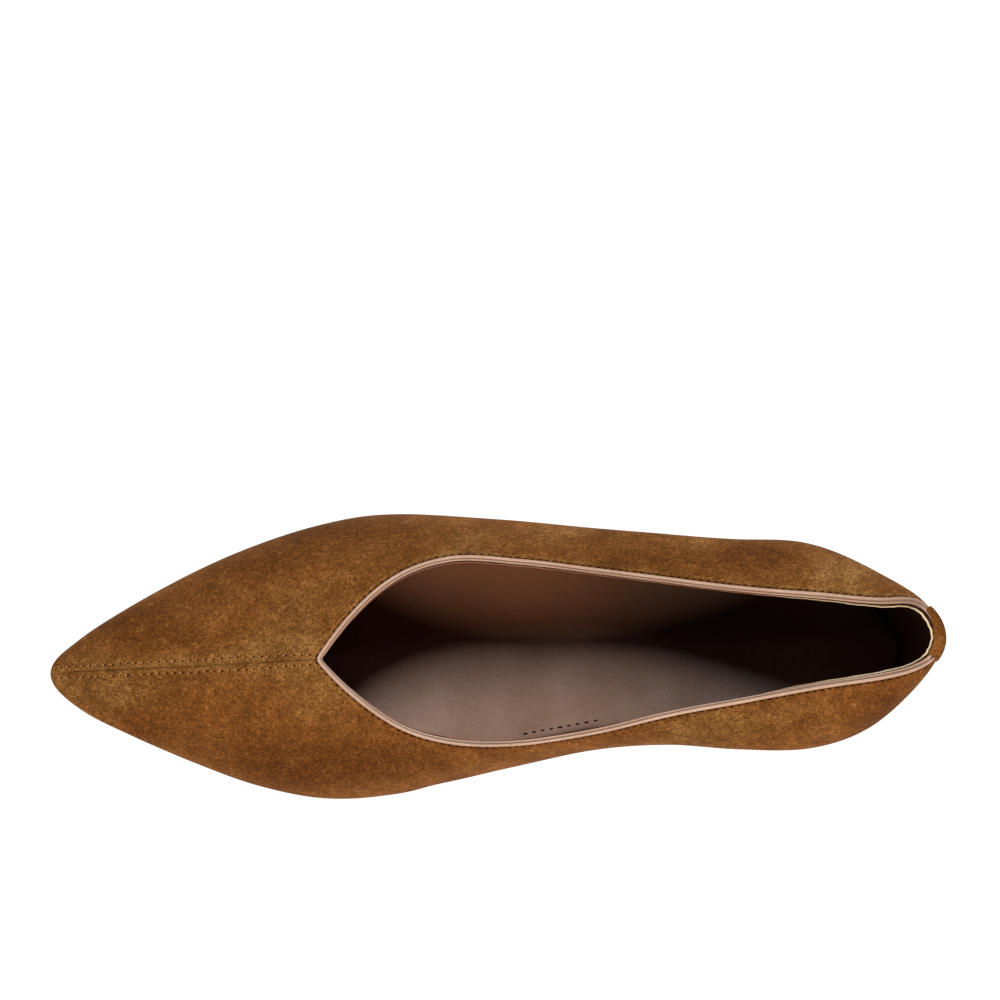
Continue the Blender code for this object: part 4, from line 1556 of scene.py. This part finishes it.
@dataclass
class Insole:
    """Leather covered insole, with a short row of stitches at its inner edge."""

    last: Last
    steps: tuple[int, int] = (10, 22)  # divisions of a section, and of one that turns
    across: int = 28
    search: int = 60  # ways at which the wall is read
    rim: float = 0.7  # rounding of the upper edge
    rim_width: float = 1.6
    dish: float = 0.7  # how much lower the middle lies
    dish_width: float = 40.0  # width from which it lies so low
    clearance: float = 2.75
    # Line on its outer side past which the brown of the turned-in lining shows
    turned_along: tuple[float, ...] = (45.0, 64.0, 87.0, 130.0, 151.0)
    turned_aside: tuple[float, ...] = (4.0, 4.6, 7.8, 8.3, 4.0)
    turned_blend: float = 5.0
    painted_heel_shade: tuple[float, float] = (0.6, 0.74)  # how much painted shade darkens the pale and brown leather towards the heel
    painted_shade_start: tuple[float, float] = (104.0, 112.0)  # where that begins on each
    painted_shade_reach: float = 30.0
    stitch_ends: tuple[float, float] = (108.5, 88.5)
    stitch_aside: tuple[float, float] = (-21.3, -18.3)
    stitch_points: int = 60

    def build(self) -> None:
        """Builds the plate and its stitches."""
        last = self.last
        left, right = (self.rim_line(station) for station in last.pairs(*self.steps))
        share = 0.5 - 0.5 * np.cos(math.pi * np.linspace(0.0, 1.0, self.across + 1))
        plan = between(left, right, share)
        width = np.linalg.norm(right - left, axis=-1)[:, None]
        gap = np.minimum(share, 1.0 - share) * width
        base = last.seat_level(plan[..., 0]) + last.wall
        fall = self.rim * np.clip(1.0 - gap / self.rim_width, 0.0, 1.0) ** 2
        sag = self.dish * np.clip(width / self.dish_width, 0.0, 1.0) * (4.0 * share * (1.0 - share))
        top = join(plan, base + last.insole_edge - fall - sag)
        points, quads = plate(top, join(plan, base + last.fit))
        along, aside = points[..., 0], points[..., 1]
        line = np.interp(along, self.turned_along, self.turned_aside)
        turned = np.clip((aside - line) / self.turned_blend + 0.5, 0.0, 1.0)
        # Painted shade, darker towards the heel, where the walls keep the light out
        start, most = (np.interp(turned, (0.0, 1.0), ends) for ends in (self.painted_shade_start, self.painted_heel_shade))
        painted_heel_shade = most * (1.0 - bell(np.clip(start - along, 0.0, None), self.painted_shade_reach))
        mesh = solid_mesh("insole", last.world(points), quads, marks={"edge": turned, "painted_heel_shade": painted_heel_shade})
        leather = SmoothLeather(
            "sheepskin insole cover with a pigmented finish",
            "B08E7D",
            "A4826F",
            edge="8A5A3E",
            takes_painted_shade=True,
            grain_mm=0.9,
            roughness=0.5,
        )
        present("insole_cover", mesh, leather.material(), "insole")
        ends = zip(self.stitch_ends, self.stitch_aside, (0.0, 0.0))
        row = np.linspace(*(np.array(end) for end in ends), self.stitch_points)
        path = laid_on(mesh, last.world(row), True)
        dark = Thread("black polyester thread, twisted", "1D120C").material()
        rows = StitchRows(pitch=2.8, shift=0.0, size=(1.7, 0.62, 0.34), sink=0.03)
        rows.build("insole_stitches", [path], dark, Slot.INSOLE)

    def rim_line(self, station: Array) -> Array:
        """Edge of the insole, beside the inner face of the wall.

        Args:
            station: places round the shoe.

        Returns:
            Places in plan.
        """
        last = self.last
        edge, out = last.sole_edge(station)
        height = last.seat_level(edge[..., 0]) + last.wall + last.insole_edge
        station = station[:, None]
        way = np.broadcast_to(np.linspace(0.0, 1.0, self.search), (len(edge), self.search))
        inner = last.surface(station, way) - last.outward(station, way) * self.clearance
        reach = np.sum((inner[..., :2] - edge[:, None]) * out[:, None], axis=-1)
        found = [np.interp(h, z, r) for h, z, r in zip(height, inner[..., 2], reach)]
        return edge + out * np.array(found)[:, None]


@dataclass
class Outsole:
    """Thin leather sole: level under the ball, sprung at the toe and thin over the heel."""

    last: Last
    steps: tuple[int, int] = (12, 24)  # divisions of a section, and of one that turns
    across: int = 16
    edge_rounding: tuple[float, int] = (0.5, 3)  # how far it reaches, and its faces

    def build(self) -> None:
        """Builds the sole."""
        last = self.last
        sides = []
        for station in last.pairs(*self.steps):
            edge, out = last.sole_edge(station)
            sides.append(edge + out * last.margin(edge[..., 0])[:, None])
        plan = between(*sides, np.linspace(0.0, 1.0, self.across + 1))
        along = plan[..., 0]
        top = join(plan, last.lift(along) + last.sole)
        points, quads = plate(top, join(plan, last.underside(along)))
        mesh = rounded(solid_mesh("outsole", last.world(points), quads), *self.edge_rounding)
        leather = SmoothLeather(
            "vegetable tanned sole leather, waxed and polished",
            "9C6A3C",
            "8A5A30",
            tone_mm=22.0,
            grain_mm=0.8,
            roughness=0.42,
            coat=0.15,
        )
        present("sole_leather", mesh, leather.material(), "outsole")


@dataclass
class Heel:
    """Suede covered kitten heel with its tip."""

    last: Last
    tip_thickness: float = 6.0
    back_power: float = 1.75
    breast_power: float = 5.0
    around: int = 80
    rows: int = 46
    tip_rounding: tuple[float, int] = (0.5, 3)  # how far it reaches, and its faces

    def ring(self, share: Array, heights: Array | None = None) -> Array:
        """Outlines of the heel, round at the back and nearly flat at the breast.

        Args:
            share: heights between the top of the tip and the sole, as shares.
            heights: heights in millimetres where they don't follow the sole.

        Returns:
            A row of points for each share.
        """
        last = self.last
        table = np.array(RINGS).T
        back, breast, half = (steady_curve(table[0], row, share)[:, None] for row in table[1:])
        angle = np.arange(self.around) * 2.0 * math.pi / self.around
        ahead, side = np.cos(angle), np.sin(angle)
        power = 2.0 / np.where(ahead > 0.0, self.breast_power, self.back_power)
        reach, spread = (np.sign(part) * np.abs(part) ** power for part in (ahead, side))
        along = (back + breast) / 2.0 + (breast - back) / 2.0 * reach
        if heights is None:
            full = last.underside(along) - last.fit - self.tip_thickness
            height = self.tip_thickness + share[:, None] * full
        else:
            height = np.broadcast_to(heights[:, None], along.shape)
        return np.stack([along, half * spread, height], -1)

    def closed(self, name: str, points: Array) -> bpy.types.Mesh:
        """Makes a stack of rings with both ends closed.

        Args:
            name: name of the mesh.
            points: the rings.

        Returns:
            The mesh.
        """
        rows, count = points.shape[:2]
        caps = [range(count), range((rows - 1) * count, rows * count)]
        return solid_mesh(name, self.last.world(points), grid_quads(rows, count, False, True), caps)

    def build(self, finish: bpy.types.Material) -> None:
        """Builds the heel and its tip.

        Args:
            finish: suede of the upper.
        """
        mesh = self.closed("heel", self.ring(np.linspace(0.0, 1.0, self.rows)))
        present("heel_cover", mesh, finish, "heel")
        heights = np.array([0.0, self.tip_thickness - self.last.fit])
        mesh = self.closed("heel_tip", self.ring(np.zeros(2), heights))
        mesh = rounded(mesh, *self.tip_rounding)
        present("heel_lift", mesh, Rubber().material(), "heel_tip")


# Studio


class LampRow(NamedTuple):
    """Soft lamp: azimuth from +X and elevation in degrees, distance and width in metres, and power."""

    name: str
    azimuth: float
    elevation: float
    distance: float
    width: float
    power: float
    colour: str


LAMPS = (
    LampRow("key", 90.0, 50.0, 2.0, 0.76, 34.0, "FFFFFF"),
    LampRow("near_fill", -95.0, 39.0, 2.0, 0.76, 37.0, "FFF1E2"),
)


@dataclass
class Studio:
    """Pale floor, soft lamps and the camera at the photo's angle."""

    white: str = "FFFFFF"
    floor_size: float = 8.0
    floor_colour: str = "7C7C7B"
    floor_roughness: float = 0.9
    floor_glow: float = 0.95
    ambient: float = 0.015
    lamp_aim: float = 40.0  # height of the place that the lamps look at
    camera_place: tuple[float, float, float] = (-60.0, -53.2, 1000.0)
    camera_aim: tuple[float, float, float] = (9.443, 47.864, 0.0)
    camera_roll: float = -0.026338
    camera_reach: tuple[float, float] = (0.05, 50.0)  # nearest and farthest that it sees, in metres
    lens: float = 118.16
    sensor: float = 36.0

    def build(self) -> None:
        """Builds the floor, the lamps, the surroundings and the camera."""
        self.build_floor()
        for row in LAMPS:
            self.add_lamp(row)
        self.build_world()
        self.build_camera()
        bpy.context.scene.view_settings.view_transform = "Standard"

    def build_floor(self) -> None:
        """Builds the floor: matt white sheet, lit from below so that shadows on it stay faint."""
        half = self.floor_size / 2.0
        mesh = bpy.data.meshes.new("floor")
        corners = [(-half, -half, 0.0), (half, -half, 0.0), (half, half, 0.0), (-half, half, 0.0)]
        mesh.from_pydata(corners, [], [(0, 1, 2, 3)])
        made, _, shader = new_material("matt white sheet of a light table")
        feed(shader, {"Base Color": linear(self.floor_colour), "Roughness": self.floor_roughness})
        feed(shader, {"Emission Color": linear(self.white), "Emission Strength": self.floor_glow})
        mesh.materials.append(made)
        floor = bpy.data.objects.new("floor", mesh)
        bpy.context.scene.collection.objects.link(floor)

    def add_lamp(self, row: LampRow) -> None:
        """Adds a lamp that looks at the middle of the shoe.

        Args:
            row: its place, size and power.
        """
        lamp = bpy.data.lights.new(row.name, "AREA")
        lamp.shape = "DISK"
        lamp.size = row.width
        lamp.energy = row.power
        lamp.color = linear(row.colour)[:3]
        made = bpy.data.objects.new(row.name, lamp)
        bpy.context.scene.collection.objects.link(made)
        a, e = math.radians(row.azimuth), math.radians(row.elevation)
        towards = Vector((math.cos(a) * math.cos(e), math.sin(a) * math.cos(e), math.sin(e)))
        made.location = towards * row.distance + Vector((0.0, 0.0, self.lamp_aim * MM))
        made.rotation_mode = "QUATERNION"
        made.rotation_quaternion = towards.to_track_quat("Z", "Y")

    def build_world(self) -> None:
        """Builds the surroundings: faint light from all sides, and white where they are seen."""
        world = bpy.data.worlds.new("white room")
        bpy.context.scene.world = world
        world.use_nodes = True
        tree = world.node_tree
        tree.nodes.clear()
        faint, white = (
            add_node(tree, "ShaderNodeBackground", {"Color": linear(self.white), "Strength": strength})
            for strength in (self.ambient, 1.0)
        )
        seen = add_node(tree, "ShaderNodeLightPath").outputs["Is Camera Ray"]
        mixed = add_node(tree, "ShaderNodeMixShader", {0: seen, 1: faint, 2: white})
        add_node(tree, "ShaderNodeOutputWorld", {"Surface": mixed})

    def build_camera(self) -> None:
        """Builds the camera at the photo's angle to the shoe."""
        data = bpy.data.cameras.new("camera")
        data.sensor_width = self.sensor
        data.lens = self.lens
        data.clip_start, data.clip_end = self.camera_reach
        camera = bpy.data.objects.new("camera", data)
        bpy.context.scene.collection.objects.link(camera)
        place = Vector(self.camera_place) * MM
        ahead = (Vector(self.camera_aim) * MM - place).normalized()
        right = ahead.cross(Vector((0.0, 1.0, 0.0))).normalized()
        up = right.cross(ahead)
        c, s = math.cos(self.camera_roll), math.sin(self.camera_roll)
        axes = (right * c + up * s, up * c - right * s, -ahead)
        camera.matrix_world = Matrix.Translation(place) @ Matrix(axes).transposed().to_4x4()
        bpy.context.scene.camera = camera


def main() -> None:
    """Builds the shoe piece by piece, then the studio."""
    logging.basicConfig(level=logging.INFO, format="%(name)s: %(message)s")
    last = Last()
    upper = Upper(last)
    upper.build_suede()
    upper.build_lining()
    upper.build_stitches()
    Topline(last).build()
    BackTab(last).build(upper.finish)
    Insole(last).build()
    Outsole(last).build()
    Heel(last).build(upper.finish)
    Studio().build()


if __name__ == "__main__":
    main()
